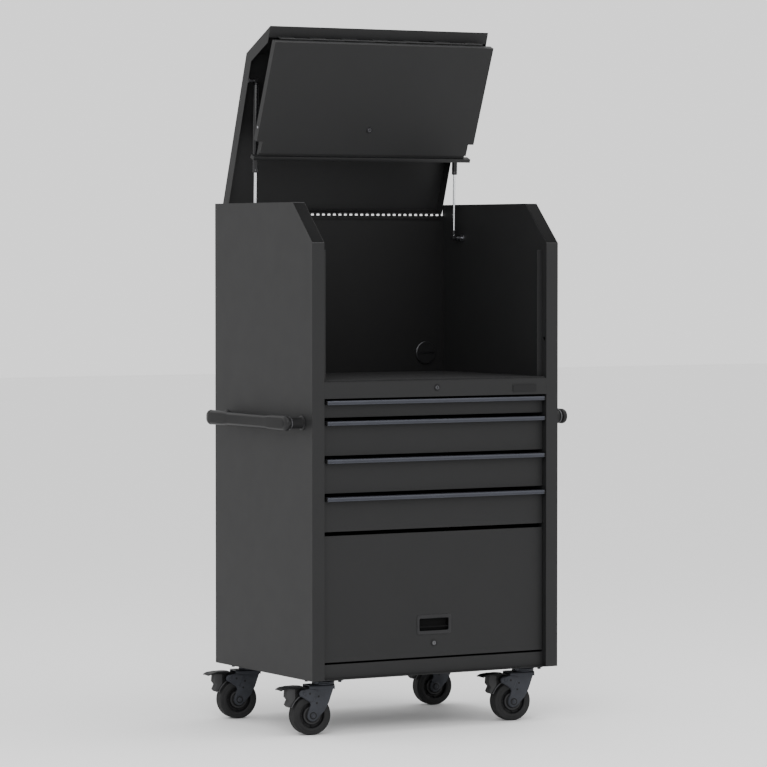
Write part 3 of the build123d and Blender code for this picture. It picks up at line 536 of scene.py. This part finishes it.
def lock(name, place, body, nodes, z, front, case_high, plug_finish="lock_steel"):
    """Cam lock whose case runs from front to case_high: domed bezel, turning plug with its keyway, cam."""
    bm = bmesh.new()
    profile = [(7.25, case_high), (7.25, front - 1.2), (8.2, front - 2.0), (9.6, front - 2.0)]
    profile += [(10.7, front - 1.3), (11.0, front), (8.9, front), (8.9, case_high)]
    lathe(bm, profile, (0, 0, z), "Y", 48, loop=True)
    piece(f"{name}_bezel", bm, place, body, "black_lock", nodes[:-1])
    bm = bmesh.new()
    depth = 2.4
    profile = [(6.95, front + depth), (6.95, front - 0.9), (6.4, front - 1.5), (3.6, front - 1.5)]
    profile += [(3.3, front - 1.1), (3.3, front + depth)]
    lathe(bm, profile, (0, 0, z), "Y", 40, loop=True)
    box(bm, -3.4, -1.0, front - 1.0, front + 1.0, z - 3.2, z + 3.2, 0.2)
    box(bm, 1.0, 3.4, front - 1.0, front + 1.0, z - 3.2, z + 3.2, 0.2)
    lathe(bm, [(6.9, front + 1.2), (6.9, case_high + 0.4)], (0, 0, z), "Y", 40)
    cam_outline = rounded_oblong(11, 20, 4, (0, z - 3))
    cam = prism(bm, cam_outline, "Y", case_high + 0.7, case_high + 2.8)
    soft_edges(bm, cam, 0.3)
    lathe(bm, [(3.2, case_high + 2.8), (3.2, case_high + 3.4)], (0, 0, z), "Y", 24)
    piece(f"{name}_plug", bm, place, name, plug_finish, nodes[-1:])


def nameplate():
    """Blank plate at the right of the top rail, with nothing written on it."""
    low_z, high_z, left, right = 1077, 1101, 285, 373
    bm = bmesh.new()
    middle = ((left + right) / 2, (low_z + high_z) / 2)
    outline = rounded_oblong(right - left, high_z - low_z, 3, middle)
    verts = prism(bm, outline, "Y", -1.4, 0)
    soft_edges(bm, verts, 0.5)
    inner = rounded_oblong(right - left - 6, high_z - low_z - 6, 1.5, middle)
    verts = prism(bm, inner, "Y", -1.9, -1.2)
    soft_edges(bm, verts, 0.3)
    piece("blank_nameplate", bm, CABINET, "cabinet", "black_plastic")


def slant_shade_strips():
    """Thin black strips on the slanted ends of both walls, where the lid's flanges close: painted shade, darkening
    these upward-facing slants as shade would.
    """
    length = math.hypot(SLANT_RUN, SLANT_DROP)
    along, out = (SLANT_RUN / length, SLANT_DROP / length), (-SLANT_DROP / length, SLANT_RUN / length)
    foot = TOP - SLANT_DROP
    section = [(3, -0.6), (3, 0.5), (4, 0.9), (length - 4, 0.9), (length - 3, 0.5), (length - 3, -0.6)]
    outline = []
    for distance, rise in section:
        outline.append((along[0] * distance + out[0] * rise, foot + along[1] * distance + out[1] * rise))
    for side, sign in SIDES.items():
        bm = bmesh.new()
        inner, outer = sorted((sign * (INNER_X + 1.5), sign * (HALF_WIDTH - 2.5)))
        verts = prism(bm, outline, "X", inner, outer)
        soft_edges(bm, verts, 0.3)
        piece(f"slant_shade_strip_{side}", bm, CABINET, "cabinet", "painted_shade_black")


def back_details():
    """Four pressed beads across the back panel and the screws round it."""
    panel_low, panel_high = extent("back_panel")
    outside = panel_high.y
    bm = bmesh.new()
    for z in (420, 700, 1000, 1300):
        profile = [(-11, 0), (-7, 2.2), (7, 2.2), (11, 0)]
        outline = [(outside + rise, z + along) for along, rise in profile]
        prism(bm, outline, "X", -INNER_X + 50, INNER_X - 50)
    piece("back_panel_beads", bm, CABINET, "cabinet", "black_paint")
    bm = bmesh.new()
    for side in (-1, 1):
        for i in range(9):
            z = BODY_BOTTOM + 40 + i * (panel_high.z - BODY_BOTTOM - 80) / 8
            pan_head(bm, (side * (INNER_X - 12), outside, z), "Y", 1, 4.2, 2.2)
    for i in range(7):
        pan_head(bm, ((i - 3) * 120, outside, BODY_BOTTOM + 14), "Y", 1, 4.2, 2.2)
    piece("back_panel_screws", bm, CABINET, "cabinet", "zinc_steel")


def handles():
    """Side handles: an oval grip whose two sockets turn in to a round post with a bright collar."""
    grips_low, grips_high = extent("handle_grips")
    brackets_low, brackets_high = extent("handle_brackets")
    z = (grips_low.z + grips_high.z) / 2
    reach, tall = brackets_high.x, brackets_high.z - brackets_low.z
    first, last = brackets_low.y, brackets_high.y
    for side, sign in SIDES.items():
        bm = bmesh.new()
        rings = []
        for i in range(25):
            y = first + 50 + (last - first - 100) * i / 24
            rings.append([(sign * (reach - 10.5 + u), y, z + v) for u, v in stadium(9.5, 20.5, 10)])
        loft(bm, rings)
        piece(f"handle_grip_{side}", bm, CABINET, "cabinet", "handle_grip",
              ["handle_grips"] if side == "left" else [])
        bm, collars = bmesh.new(), bmesh.new()
        for end, toward in ((first, 1), (last, -1)):
            socket(bm, sign, end, toward, z, reach, tall / 2)
            handle_post(bm, collars, sign, end + toward * 24, z, reach)
        piece(f"handle_brackets_{side}", bm, CABINET, "cabinet", "handle_grip",
              ["handle_brackets"] if side == "left" else [])
        piece(f"handle_collars_{side}", collars, CABINET, "cabinet", "collar_steel")
        inlay = grip_inlay(sign, first, last, z, reach)
        piece(f"handle_inlay_{side}", inlay, CABINET, "cabinet", "grip_inlay")


def stadium(half_wide, half_tall, steps):
    """Upright oblong with round ends, as (u, v) points."""
    rise = half_tall - half_wide
    top = arc((0, rise), half_wide, 0, 180, steps)
    return top + arc((0, -rise), half_wide, 180, 360, steps)


def socket(bm, sign, end, toward, z, reach, half_tall):
    """Socket of the grip: full height, round at its outer end and tapered where the grip enters it."""
    length, turn, depth = 146.0, 26.0, 22.0
    outline = []
    for i in range(1, 9):
        angle = math.radians(90 * i / 8)
        swell = math.sin(angle)
        half_wide, half_high = depth / 2 * (0.35 + 0.65 * swell), half_tall * max(0.3, swell)
        outline.append((turn * (1 - math.cos(angle)), half_wide, half_high))
    if toward < 0:
        outline += [(turn + 2, depth / 2 - 3, half_tall - 3.4), (turn + 5, depth / 2 - 3, half_tall - 3.4)]
        outline.append((turn + 6.5, depth / 2, half_tall - 0.4))
    outline += [(length - 30, depth / 2, half_tall - 1), (length, depth / 2 - 0.8, 21.3)]
    outline.append((length + 1.5, depth / 2 - 2.4, 19.5))
    sections = []
    for along, half_wide, half_high in outline:
        ring = stadium(half_wide, max(half_high, half_wide + 0.01), 10)
        sections.append([(sign * (reach - depth / 2 + u), end + toward * along, z + v) for u, v in ring])
    loft(bm, sections)


def grip_inlay(sign, first, last, z, reach):
    """Darker soft inlay along the outer face of a handle, between its lighter edges."""
    tip = [(16, 4, 0.4), (19, 9, 0.2), (25, 14, 0)]
    near = [(36, 16.5, 0), (126, 16.5, 0.1), (146, 14.2, 0.3), (152, 13.6, 0.6)]
    far = [(last - first - along, half_tall, inset) for along, half_tall, inset in reversed(near)]
    stations = tip + near + far
    bm = bmesh.new()
    sections = []
    for along, half_tall, inset in stations:
        ring = stadium(1.3, half_tall, 6)
        sections.append([(sign * (reach - 1.1 - inset + u), first + along, z + v) for u, v in ring])
    loft(bm, sections)
    return bm


def handle_post(bm, collars, sign, y, z, reach):
    """Round post from the wall to the socket, with its wall flange and the bright collar by the socket."""
    wall, inner = HALF_WIDTH, reach - 20
    profile = [(0.5, 0), (23.5, 0), (23.5, 2.4), (22, 3.6), (18.4, 4.4), (17.6, 7), (17.2, inner - wall - 8)]
    profile += [(18.4, inner - wall - 2), (18.4, inner - wall + 4), (0.5, inner - wall + 4)]
    lathe(bm, [(r, sign * (wall + along)) for r, along in profile], (0, y, z), "X", 40)
    ring = [(18.2, inner - 7), (20.4, inner - 6), (20.8, inner - 4.5), (20.4, inner - 3), (18.2, inner - 2)]
    lathe(collars, [(r, sign * along) for r, along in ring], (0, y, z), "X", 40, loop=True)


# Lid and flap


def flap_details():
    """Guides of the lock rods on the flap's inner side."""
    flap_y = FLAP_FACE + SHEET
    rod_z = flap_lock_z()
    bm = bmesh.new()
    for side in (-1, 1):
        for x in (120, 260, 390):
            x0, x1 = sorted((side * (x - 10), side * (x + 10)))
            box(bm, x0, x1, flap_y, flap_y + 4.5, rod_z - 12, rod_z - 5.5, 0.6)
            box(bm, x0, x1, flap_y, flap_y + 4.5, rod_z + 5.5, rod_z + 12, 0.6)
            box(bm, x0, x1, 17.6, 19.2, rod_z - 12, rod_z + 12, 0.4)
            for z in (rod_z - 8.7, rod_z + 8.7):
                box(bm, x0 + 4, x1 - 4, flap_y + 4.5, 17.6, z - 1.4, z + 1.4)
    piece("flap_rod_guides", bm, FLAP, "flap", "zinc_steel")


def flap_lock_z():
    """Height of the flap's lock when the flap is shut."""
    point = FLAP.inverted() @ joint_point("flap_lock_turn")
    return point.z


# Gas struts


def struts():
    """Gas struts: painted cylinder with a rolled end, upper eye, bright rod and ball socket."""
    for side, sign in SIDES.items():
        place = strut_frame(side)
        length, foot = STRUT_TUBE, STRUT_SPAN
        bm = bmesh.new()
        profile = [(4.62, -length), (7.6, -length), (8.6, -length + 1.2), (9.0, -length + 3)]
        profile += [(9.0, -length + 9), (8.5, -length + 10), (8.5, -length + 11.4), (9.0, -length + 12.4)]
        profile += [(9.0, -16), (8.4, -13.4), (5.4, -12), (5.2, -8), (5.2, -4), (3.0, -4), (3.0, -40)]
        profile += [(4.62, -42)]
        lathe(bm, profile, (0, 0, 0), "Z", 40, loop=True)
        piece(f"gas_strut_cylinder_{side}", bm, place, f"strut_tube_{side}", "strut_black",
              [f"strut_cylinder_{side}"])
        bm = bmesh.new()
        eye = [(4.4, -7.4), (8.0, -7.0), (8.4, -5), (8.4, 5), (8.0, 7.0), (4.4, 7.4)]
        lathe(bm, eye, (0, 0, 0), "X", 32)
        piece(f"gas_strut_eye_{side}", bm, place, f"strut_tube_{side}", "black_plastic")
        bm = bmesh.new()
        lathe(bm, [(4.5, -foot + 9), (4.5, -length + 22)], (0, 0, 0), "Z", 32)
        piece(f"gas_strut_rod_{side}", bm, place, f"strut_rod_{side}", "bright_rod", [f"strut_rod_{side}"])
        bm = bmesh.new()
        socket = [(3.2, -foot + 26), (5.6, -foot + 25), (6.2, -foot + 22), (6.2, -foot + 10)]
        lathe(bm, socket, (0, 0, 0), "Z", 28)
        ball = [(2.0, -7.6), (6.6, -7.4), (8.0, -6), (8.3, 0), (8.0, 4), (6.2, 5.6), (1.5, 6)]
        lathe(bm, [(r, x * sign) for r, x in ball], (0, 0, -foot), "X", 32)
        piece(f"gas_strut_socket_{side}", bm, place, f"strut_rod_{side}", "black_plastic")


# Drawers and door


def pull(number):
    """Extruded pull: rounded nose, three grip grooves on its lip and moulded end caps."""
    low, high = extent(f"drawer_{number}_pull")
    nose, back, top, bottom = low.y, high.y, high.z, low.z
    outline = [(back, top)]
    outline += arc((nose + 4, top - 4), 4, 90, 180, 6)
    for i in range(3):
        z = top - 6.0 - i * 2.1
        outline += [(nose, z + 0.5), (nose + 0.55, z + 0.2), (nose + 0.55, z - 0.2), (nose, z - 0.5)]
    outline += arc((nose + 1.5, bottom + 1.5), 1.5, 180, 360, 6)
    outline += arc((nose + 4.6, top - 4.6), 1.6, 180, 90, 4)
    outline += [(back, top - 3)]
    bm = bmesh.new()
    prism(bm, outline, "X", low.x + 2.5, high.x - 2.5)
    piece(f"drawer_{number}_pull_profile", bm, CABINET, f"drawer_{number}", "pull_aluminium",
          [f"drawer_{number}_pull"])
    bm = bmesh.new()
    cap = [(FACE_Y - 0.5, top + 0.2), (nose + 4, top + 0.2), (nose - 0.3, top - 4), (nose - 0.3, bottom + 1)]
    cap += [(nose + 0.8, bottom - 0.3), (FACE_Y - 8, bottom + 3), (FACE_Y - 0.5, top - 4)]
    for x0, x1 in ((low.x, low.x + 2.6), (high.x - 2.6, high.x)):
        verts = prism(bm, cap, "X", x0, x1)
        soft_edges(bm, verts, 0.6)
    piece(f"drawer_{number}_pull_caps", bm, CABINET, f"drawer_{number}", "black_plastic")


def drawer_liner(number):
    """Ribbed liner on the drawer's floor."""
    low, high = extent(f"drawer_{number}_box")
    floor = low.z + 4.5 + SHEET
    x = INNER_X - 13.5 - SHEET - 2
    y0, y1 = FACE_Y + 14 + 2, high.y - SHEET - 2
    profile = [(y0, floor)]
    rib, rise, thick = 9.0, 0.8, 1.6
    y = y0
    while y + rib < y1:
        for step, lift in ((0.15, 0), (0.35, 1), (0.85, 1), (1.0, 0)):
            profile.append((y + rib * step, floor + thick + rise * lift))
        y += rib
    profile += [(y1, floor + thick), (y1, floor)]
    bm = bmesh.new()
    prism(bm, profile, "X", -x, x)
    piece(f"drawer_{number}_liner", bm, CABINET, f"drawer_{number}", "mat")


def slide_details():
    """Rows of balls on the slides' middle members."""
    for number in range(1, 5):
        low, high = extent(f"slide_{number}_middle")
        z = (low.z + high.z) / 2
        ball = [(0.2, -1.5), (1.1, -1.1), (1.5, 0), (1.1, 1.1), (0.2, 1.5)]
        bm = bmesh.new()
        for side in (-1, 1):
            x = side * (INNER_X - 4.2)
            for row_z in (z - 11.3, z + 11.3):
                for i in range(9):
                    lathe(bm, ball, (x, low.y + 30 + i * 12.0, row_z), "Y", 10)
        piece(f"slide_{number}_balls", bm, CABINET, f"slide_{number}", "chrome")


def door_cup():
    """Recessed pull: rounded bezel, black cup and the finger ledge across its lower part."""
    low, high = extent("door_handle_cup")
    centre = (0, (low.z + high.z) / 2)
    wide, tall = high.x - low.x, high.z - low.z
    inner_wide, inner_tall = wide - 19, tall - 24
    front, back = low.y, high.y
    bezel = [
        (wide, tall, 8, FACE_Y - 0.05),
        (wide, tall, 8, front + 1.3),
        (wide - 0.8, tall - 0.8, 7.6, front + 0.5),
        (wide - 3, tall - 3, 7, front - 0.2),
        (wide - 9, tall - 8, 6, front - 0.4),
        (inner_wide + 3, inner_tall + 3, 5, front - 0.1),
        (inner_wide + 0.8, inner_tall + 0.8, 4.2, front + 0.9),
        (inner_wide, inner_tall, 4, front + 2.6),
    ]
    cup = [
        (inner_wide, inner_tall, 4, front + 2.6),
        (inner_wide - 1, inner_tall - 1, 3, back - 2.4),
        (inner_wide - 5, inner_tall - 5, 2.5, back - 1.2),
    ]
    bm = bmesh.new()
    skin(bm, [[(u, y, v) for u, v in rounded_oblong(w, h, r, centre)] for w, h, r, y in bezel])
    piece("door_pull_bezel", bm, CABINET, "door", "cup_bezel")
    bm = bmesh.new()
    rings = [[(u, y, v) for u, v in rounded_oblong(w, h, r, centre)] for w, h, r, y in cup]
    bm.faces.new(skin(bm, rings)[-1])
    ledge_top = centre[1] - inner_tall * 0.12
    box(bm, -inner_wide / 2 + 1, inner_wide / 2 - 1, front + 3.5, front + 7.0, ledge_top - 5, ledge_top, 0.9)
    # The cup and its ledge take the near-black finish: a black plastic cup, darkened further as painted shade of
    # the recess.
    piece("door_pull_cup", bm, CABINET, "door", "painted_shade_black", ["door_handle_cup"])


# Casters


def casters():
    """Plates, forks, wheels and brake pedals of the four casters."""
    for corner in CORNERS:
        place = caster_frame(corner)
        caster_mount(corner)
        caster_fork(corner, place)
        caster_wheel(corner, place)
        caster_pedal(corner, place)


def caster_mount(corner):
    """Mounting plate with round corners, its dished race housing, kingpin and four bolts with washers."""
    centre = joint_point(f"caster_{corner}_swivel") - ORIGIN
    x, y = centre.x / MM, centre.y / MM
    bm = bmesh.new()
    verts = prism(bm, rounded_oblong(105, 85, 9, (x, y)), "Z", BODY_BOTTOM - 6, BODY_BOTTOM)
    soft_edges(bm, verts, 0.9)
    profile = [(0.5, CROWN_Z - 13), (5.2, CROWN_Z - 13), (5.9, CROWN_Z - 12), (5.9, CROWN_Z + 10.6)]
    profile += [(29, CROWN_Z + 10.6), (32, CROWN_Z + 10.9), (33, CROWN_Z + 11.8)]
    profile += [(35.5, BODY_BOTTOM - 6), (0.5, BODY_BOTTOM - 6)]
    lathe(bm, profile, (x, y, 0), "Z", 56, loop=True)
    for dx in (-42.5, 42.5):
        for dy in (-32.5, 32.5):
            hex_head(bm, (x + dx, y + dy, BODY_BOTTOM - 6), "Z", -1, 11, 6)
    piece(f"caster_{corner}_mount", bm, CABINET, "cabinet", "caster_steel",
          ["caster_plates"] if corner == CORNERS[0] else [])


def leg_outline():
    """Outline of a fork leg in the caster's frame: from the crown to the axle, with the arm of the brake."""
    points = [(-23.4, CROWN_Z - 13), (-8.5, 105), (6, 78)]
    points += arc((TRAIL, WHEEL_RADIUS), 18, 224, 376, 16)
    points += [(53, 98), (56, 107), (80, 123)]
    points += arc((PIVOT_X + 4, PIVOT_Z), 11, -50, 85, 8)
    return points + [(62, CROWN_Z - 13)]


def caster_fork(corner, place):
    """Pressed fork: swivel race in two rings, folded crown, legs with a raised arm, and the axle."""
    bm = bmesh.new()
    top = CROWN_Z
    race = [(7, top), (34.6, top), (36, top + 1.2), (36, top + 3.8), (33.6, top + 4.6), (33.6, top + 5.4)]
    race += [(36, top + 6.2), (36, top + 8.6), (34.8, top + 9.6), (7, top + 9.6)]
    lathe(bm, race, (0, 0, 0), "Z", 64, loop=True)
    outer, inner, low = FORK_OUTER + 0.2, FORK_INNER, top - 14
    fold = [(outer, low)] + arc((outer - 6, top - 6), 6, 0, 90, 6) + arc((6 - outer, top - 6), 6, 90, 180, 6)
    fold += [(-outer, low), (-inner, low), (-inner, top - 6), (4 - inner, top - 3.8), (inner - 4, top - 3.8)]
    fold += [(inner, top - 6), (inner, low)]
    crown = prism(bm, fold, "X", -28, 58)
    soft_edges(bm, crown, 0.8, 2, 50)
    lathe(bm, [(7, top - 10), (9.8, top - 9.4), (11.6, top - 8.4), (11.6, top - 3.6)], (0, 0, 0), "Z", 6)
    arm = [(45, 107), (56, 107.5), (79, 124)] + arc((PIVOT_X + 4, PIVOT_Z), 10, -50, 85, 8)
    arm += [(60, CROWN_Z - 11), (36, CROWN_Z - 13), (31, CROWN_Z - 20)]
    for sign in (-1, 1):
        face = sign * FORK_OUTER
        verts = prism(bm, leg_outline(), "Y", sign * inner, face)
        soft_edges(bm, verts, 0.8)
        verts = prism(bm, arm, "Y", face - sign * 0.5, face + sign * 1.8)
        soft_edges(bm, verts, 1.2, 3, 40)
        boss = [(9, 1.6), (9, 2.4), (6.5, 2.8), (6.2, 1.9), (4.4, 1.9), (4.0, 3.4), (2.0, 3.8)]
        lathe(bm, [(r, face + sign * out) for r, out in boss], (PIVOT_X, 0, PIVOT_Z), "Y", 28)
        dome = [(15.5, face), (15.5, face + sign * 0.7), (13.4, face + sign * 1.2)]
        lathe(bm, dome, (TRAIL, 0, WHEEL_RADIUS), "Y", 40)
        hex_head(bm, (TRAIL, face + sign * 2.2, WHEEL_RADIUS), "Y", sign, 11, 5.2)
    lathe(bm, [(5.9, -FORK_OUTER), (5.9, FORK_OUTER)], (TRAIL, 0, WHEEL_RADIUS), "Y", 24)
    piece(f"caster_{corner}_pressed_fork", bm, place, f"caster_{corner}", "caster_steel",
          [f"caster_{corner}_fork"])
    bm = bmesh.new()
    for sign in (-1, 1):
        # Painted shade: black discs over the three holes in each leg stand for the dark of the open holes; the
        # axle washers below are real black parts.
        for x, z in ((27, 124), (33, 103), (57, 134)):
            start = sign * (FORK_OUTER + (1.8 if x > 50 else 0))
            rivet = [(3.3, start - sign), (3.3, start + sign * 0.2), (2.5, start + sign * 0.3)]
            lathe(bm, rivet, (x, 0, z), "Y", 20)
        face = sign * (FORK_OUTER + 1.0)
        washer = [(11.6, face), (11.6, face + sign * 1.3), (8.6, face + sign * 1.9)]
        lathe(bm, washer, (TRAIL, 0, WHEEL_RADIUS), "Y", 40)
    piece(f"caster_{corner}_hole_shades_and_washers", bm, place, f"caster_{corner}", "nut_black_and_hole_shade")


def caster_wheel(corner, place):
    """Wheel: rubber tyre with tread grooves and a stepped sidewall, on a dished plastic hub with ribs."""
    centre, radius, half = (TRAIL, 0, WHEEL_RADIUS), WHEEL_RADIUS, 25.0
    bm = bmesh.new()
    side = [(42, half - 6), (42, half - 1.6), (43.6, half - 0.7), (50.5, half - 0.7), (51.6, half - 1.5)]
    side += [(53.4, half - 1.5), (59.4, half - 1.7), (61.4, half - 2.6), (62.8, half - 4.2)]
    side.append((radius, half - 6.4))
    for groove in (12.0, 5.0):
        side += [(radius, groove + 1.4), (radius - 2.6, groove + 0.9)]
        side += [(radius - 2.6, groove - 0.9), (radius, groove - 1.4)]
    profile = side + [(r, -y) for r, y in reversed(side)]
    lathe(bm, profile, centre, "Y", 96, loop=True)
    piece(f"caster_{corner}_tyre", bm, place, f"wheel_{corner}", "tyre", [f"caster_{corner}_wheel"])
    bm = bmesh.new()
    face = [(6.1, half), (19, half), (20.5, half - 1.2), (21, half - 3), (22.6, half - 3.4)]
    face += [(28.4, half - 3.4), (29.6, half - 4.6), (30.2, half - 11), (39.6, half - 11), (40.6, half - 3)]
    face += [(42.2, half - 2.2), (42.2, 0)]
    profile = face + [(r, -y) for r, y in reversed(face[:-1])]
    lathe(bm, profile, centre, "Y", 72, loop=True)
    for sign in (-1, 1):
        for i in range(8):
            rib = bmesh.new()
            box(rib, 30, 40.4, *sorted((sign * (half - 11.2), sign * (half - 7.5))), -1.5, 1.5, 0.5)
            turned = Matrix.Translation(centre) @ Matrix.Rotation(2 * math.pi * i / 8, 4, "Y")
            bmesh.ops.transform(rib, matrix=turned, verts=rib.verts)
            merge(bm, rib)
    piece(f"caster_{corner}_hub", bm, place, f"wheel_{corner}", "hub_plastic")
    bm = bmesh.new()
    for sign in (-1, 1):
        y = sign * (half - 3.5)
        shoulder, crest = y + sign * 0.9, y + sign * 1.3
        ring = [(22.8, y), (22.8, shoulder), (23.6, crest), (27.6, crest), (28.3, shoulder), (28.3, y)]
        lathe(bm, ring, centre, "Y", 64, loop=True)
    piece(f"caster_{corner}_hub_rings", bm, place, f"wheel_{corner}", "caster_grey")


def merge(bm, other):
    """Add another mesh to bm and free it."""
    mesh = bpy.data.meshes.new("joined")
    other.to_mesh(mesh)
    other.free()
    bm.from_mesh(mesh)
    bpy.data.meshes.remove(mesh)


def caster_pedal(corner, place):
    """Brake pedal: bent tread with raised bars, hub on its pin, toothed block, and band by the wheel."""
    half, reach, z = 24.0, PEDAL_REACH, CROWN_Z - 4
    top = [(PIVOT_X - 14, z - 5), (PIVOT_X - 6, z - 2), (PIVOT_X + 6, z - 0.6), (PIVOT_X + 18, z)]
    top += [(PIVOT_X + 44, z - 1), (reach - 12, z - 3.6), (reach - 5, z - 6.6), (reach, z - 10)]
    under = [(reach - 2.6, z - 12), (reach - 10, z - 8.6), (PIVOT_X + 44, z - 4), (PIVOT_X + 16, z - 3.4)]
    under += [(PIVOT_X - 6, z - 6), (PIVOT_X - 14, z - 9)]
    bm = bmesh.new()
    verts = prism(bm, top + under, "Y", -half, half)
    soft_edges(bm, verts, 0.9, 2, 40)
    for i in range(6):
        x = PIVOT_X + 14 + i * 6
        box(bm, x, x + 2.6, -half + 4, half - 4, z - 1.2, z + 0.7, 0.5)
    lathe(bm, [(7, -half), (7, half)], (PIVOT_X, 0, PIVOT_Z), "Y", 24)
    piece(f"caster_{corner}_brake_pedal", bm, place, f"brake_{corner}", "pedal_black",
          [f"caster_{corner}_pedal"])
    bm = bmesh.new()
    teeth = [(reach - 27, z - 4), (reach - 25, 123), (reach - 33, 113), (reach - 26, 97), (reach - 33, 90)]
    block = [(PIVOT_X + 2, z - 5)] + teeth + arc((TRAIL, WHEEL_RADIUS), 73.5, 22, 57, 7)
    block += [(PIVOT_X + 2, PIVOT_Z - 6)]
    middle = (reach - 50, 124)
    core = [(middle[0] + (u - middle[0]) * 0.9, middle[1] + (v - middle[1]) * 0.95) for u, v in block]
    prism(bm, core, "Y", -14.6, 14.6)
    for x, v in ((PIVOT_X + 14, z - 14), (PIVOT_X + 12, z - 28)):
        for sign in (-1, 1):
            rim = [(5.0, sign * 14.0), (5.0, sign * 15.8), (3.8, sign * 15.8), (3.4, sign * 14.0)]
            lathe(bm, rim, (x, 0, v), "Y", 24, loop=True)
    piece(f"caster_{corner}_brake_core", bm, place, f"brake_{corner}", "nut_black_and_hole_shade")
    bm = bmesh.new()
    rib = [(PIVOT_X + 25, z - 8)] + teeth + [(reach - 41, 98), (PIVOT_X + 25, 116)]
    for i in range(5):
        y = -14.8 + i * 7.4
        fin = prism(bm, rib, "Y", y - 2.1, y + 2.1)
        soft_edges(bm, fin, 0.5)
    piece(f"caster_{corner}_brake_teeth", bm, place, f"brake_{corner}", "brake_grey")
    bm = bmesh.new()
    band = arc((TRAIL, WHEEL_RADIUS), 71.6, 21, 60, 9) + arc((TRAIL, WHEEL_RADIUS), 73.4, 60, 21, 9)
    verts = prism(bm, band, "Y", -19.5, 19.5)
    soft_edges(bm, verts, 0.5)
    piece(f"caster_{corner}_brake_band", bm, place, f"brake_{corner}", "band_steel")


# Stage


def stage():
    """White surroundings, pale floor and soft lights."""
    world = bpy.data.worlds.new("studio")
    bpy.context.scene.world = world
    world.use_nodes = True
    world.node_tree.nodes["Background"].inputs["Color"].default_value = (1.0, 1.0, 1.0, 1)
    world.node_tree.nodes["Background"].inputs["Strength"].default_value = 1.35
    bpy.ops.mesh.primitive_plane_add(size=60, location=(0, 0, 0))
    floor = bpy.context.object
    floor.name = "studio_floor"
    material, tree, bsdf = shader("studio_floor", 0.8)
    bsdf.inputs["Base Color"].default_value = (0.9, 0.9, 0.9, 1)
    floor.data.materials.append(material)
    light("key", (-2.6, -3.4, 3.0), (0, 0, 1.0), 2.2, 90)
    light("top", (0.4, -0.4, 4.2), (0, 0, 0.8), 2.6, 60)
    light("right_fill", (3.6, -2.2, 2.2), (0, 0, 0.9), 2.0, 20)


def light(name, spot, target, size, power):
    """Soft square light aimed at a point."""
    lamp = bpy.data.lights.new(name, "AREA")
    lamp.size = size
    lamp.energy = power
    obj = bpy.data.objects.new(name, lamp)
    obj.location = spot
    obj.rotation_euler = (Vector(target) - Vector(spot)).to_track_quat("-Z", "Y").to_euler()
    bpy.context.scene.collection.objects.link(obj)


def camera():
    """Far camera with a long lens, in front of the chest and to its left."""
    lens = bpy.data.cameras.new("camera")
    lens.lens = CAMERA_LENS
    lens.sensor_width = 36
    lens.clip_end = 100
    obj = bpy.data.objects.new("camera", lens)
    obj.location = ORIGIN + CAMERA_PLACE
    obj.rotation_euler = (math.radians(90 - CAMERA_TILT), 0, math.radians(CAMERA_HEADING))
    bpy.context.scene.collection.objects.link(obj)
    bpy.context.scene.camera = obj


worktop_mat()
grommet()
hinge()
nameplate()
slant_shade_strips()
back_details()
handles()
flap_details()
struts()
for number in range(1, 5):
    pull(number)
    drawer_liner(number)
slide_details()
door_cup()
lock("drawer_lock", CABINET, "cabinet", ["drawer_lock_body", "drawer_lock_plug"], DRAWER_LOCK_Z, 0, 20)
lock("flap_lock", FLAP, "flap", ["flap_lock_body", "flap_lock_plug"], flap_lock_z(), FLAP_FACE, 7)
lock("door_lock", CABINET, "door", ["door_lock_plug"], DOOR_LOCK_Z, DOOR_FACE, 38, "band_steel")
casters()
stage()
camera()
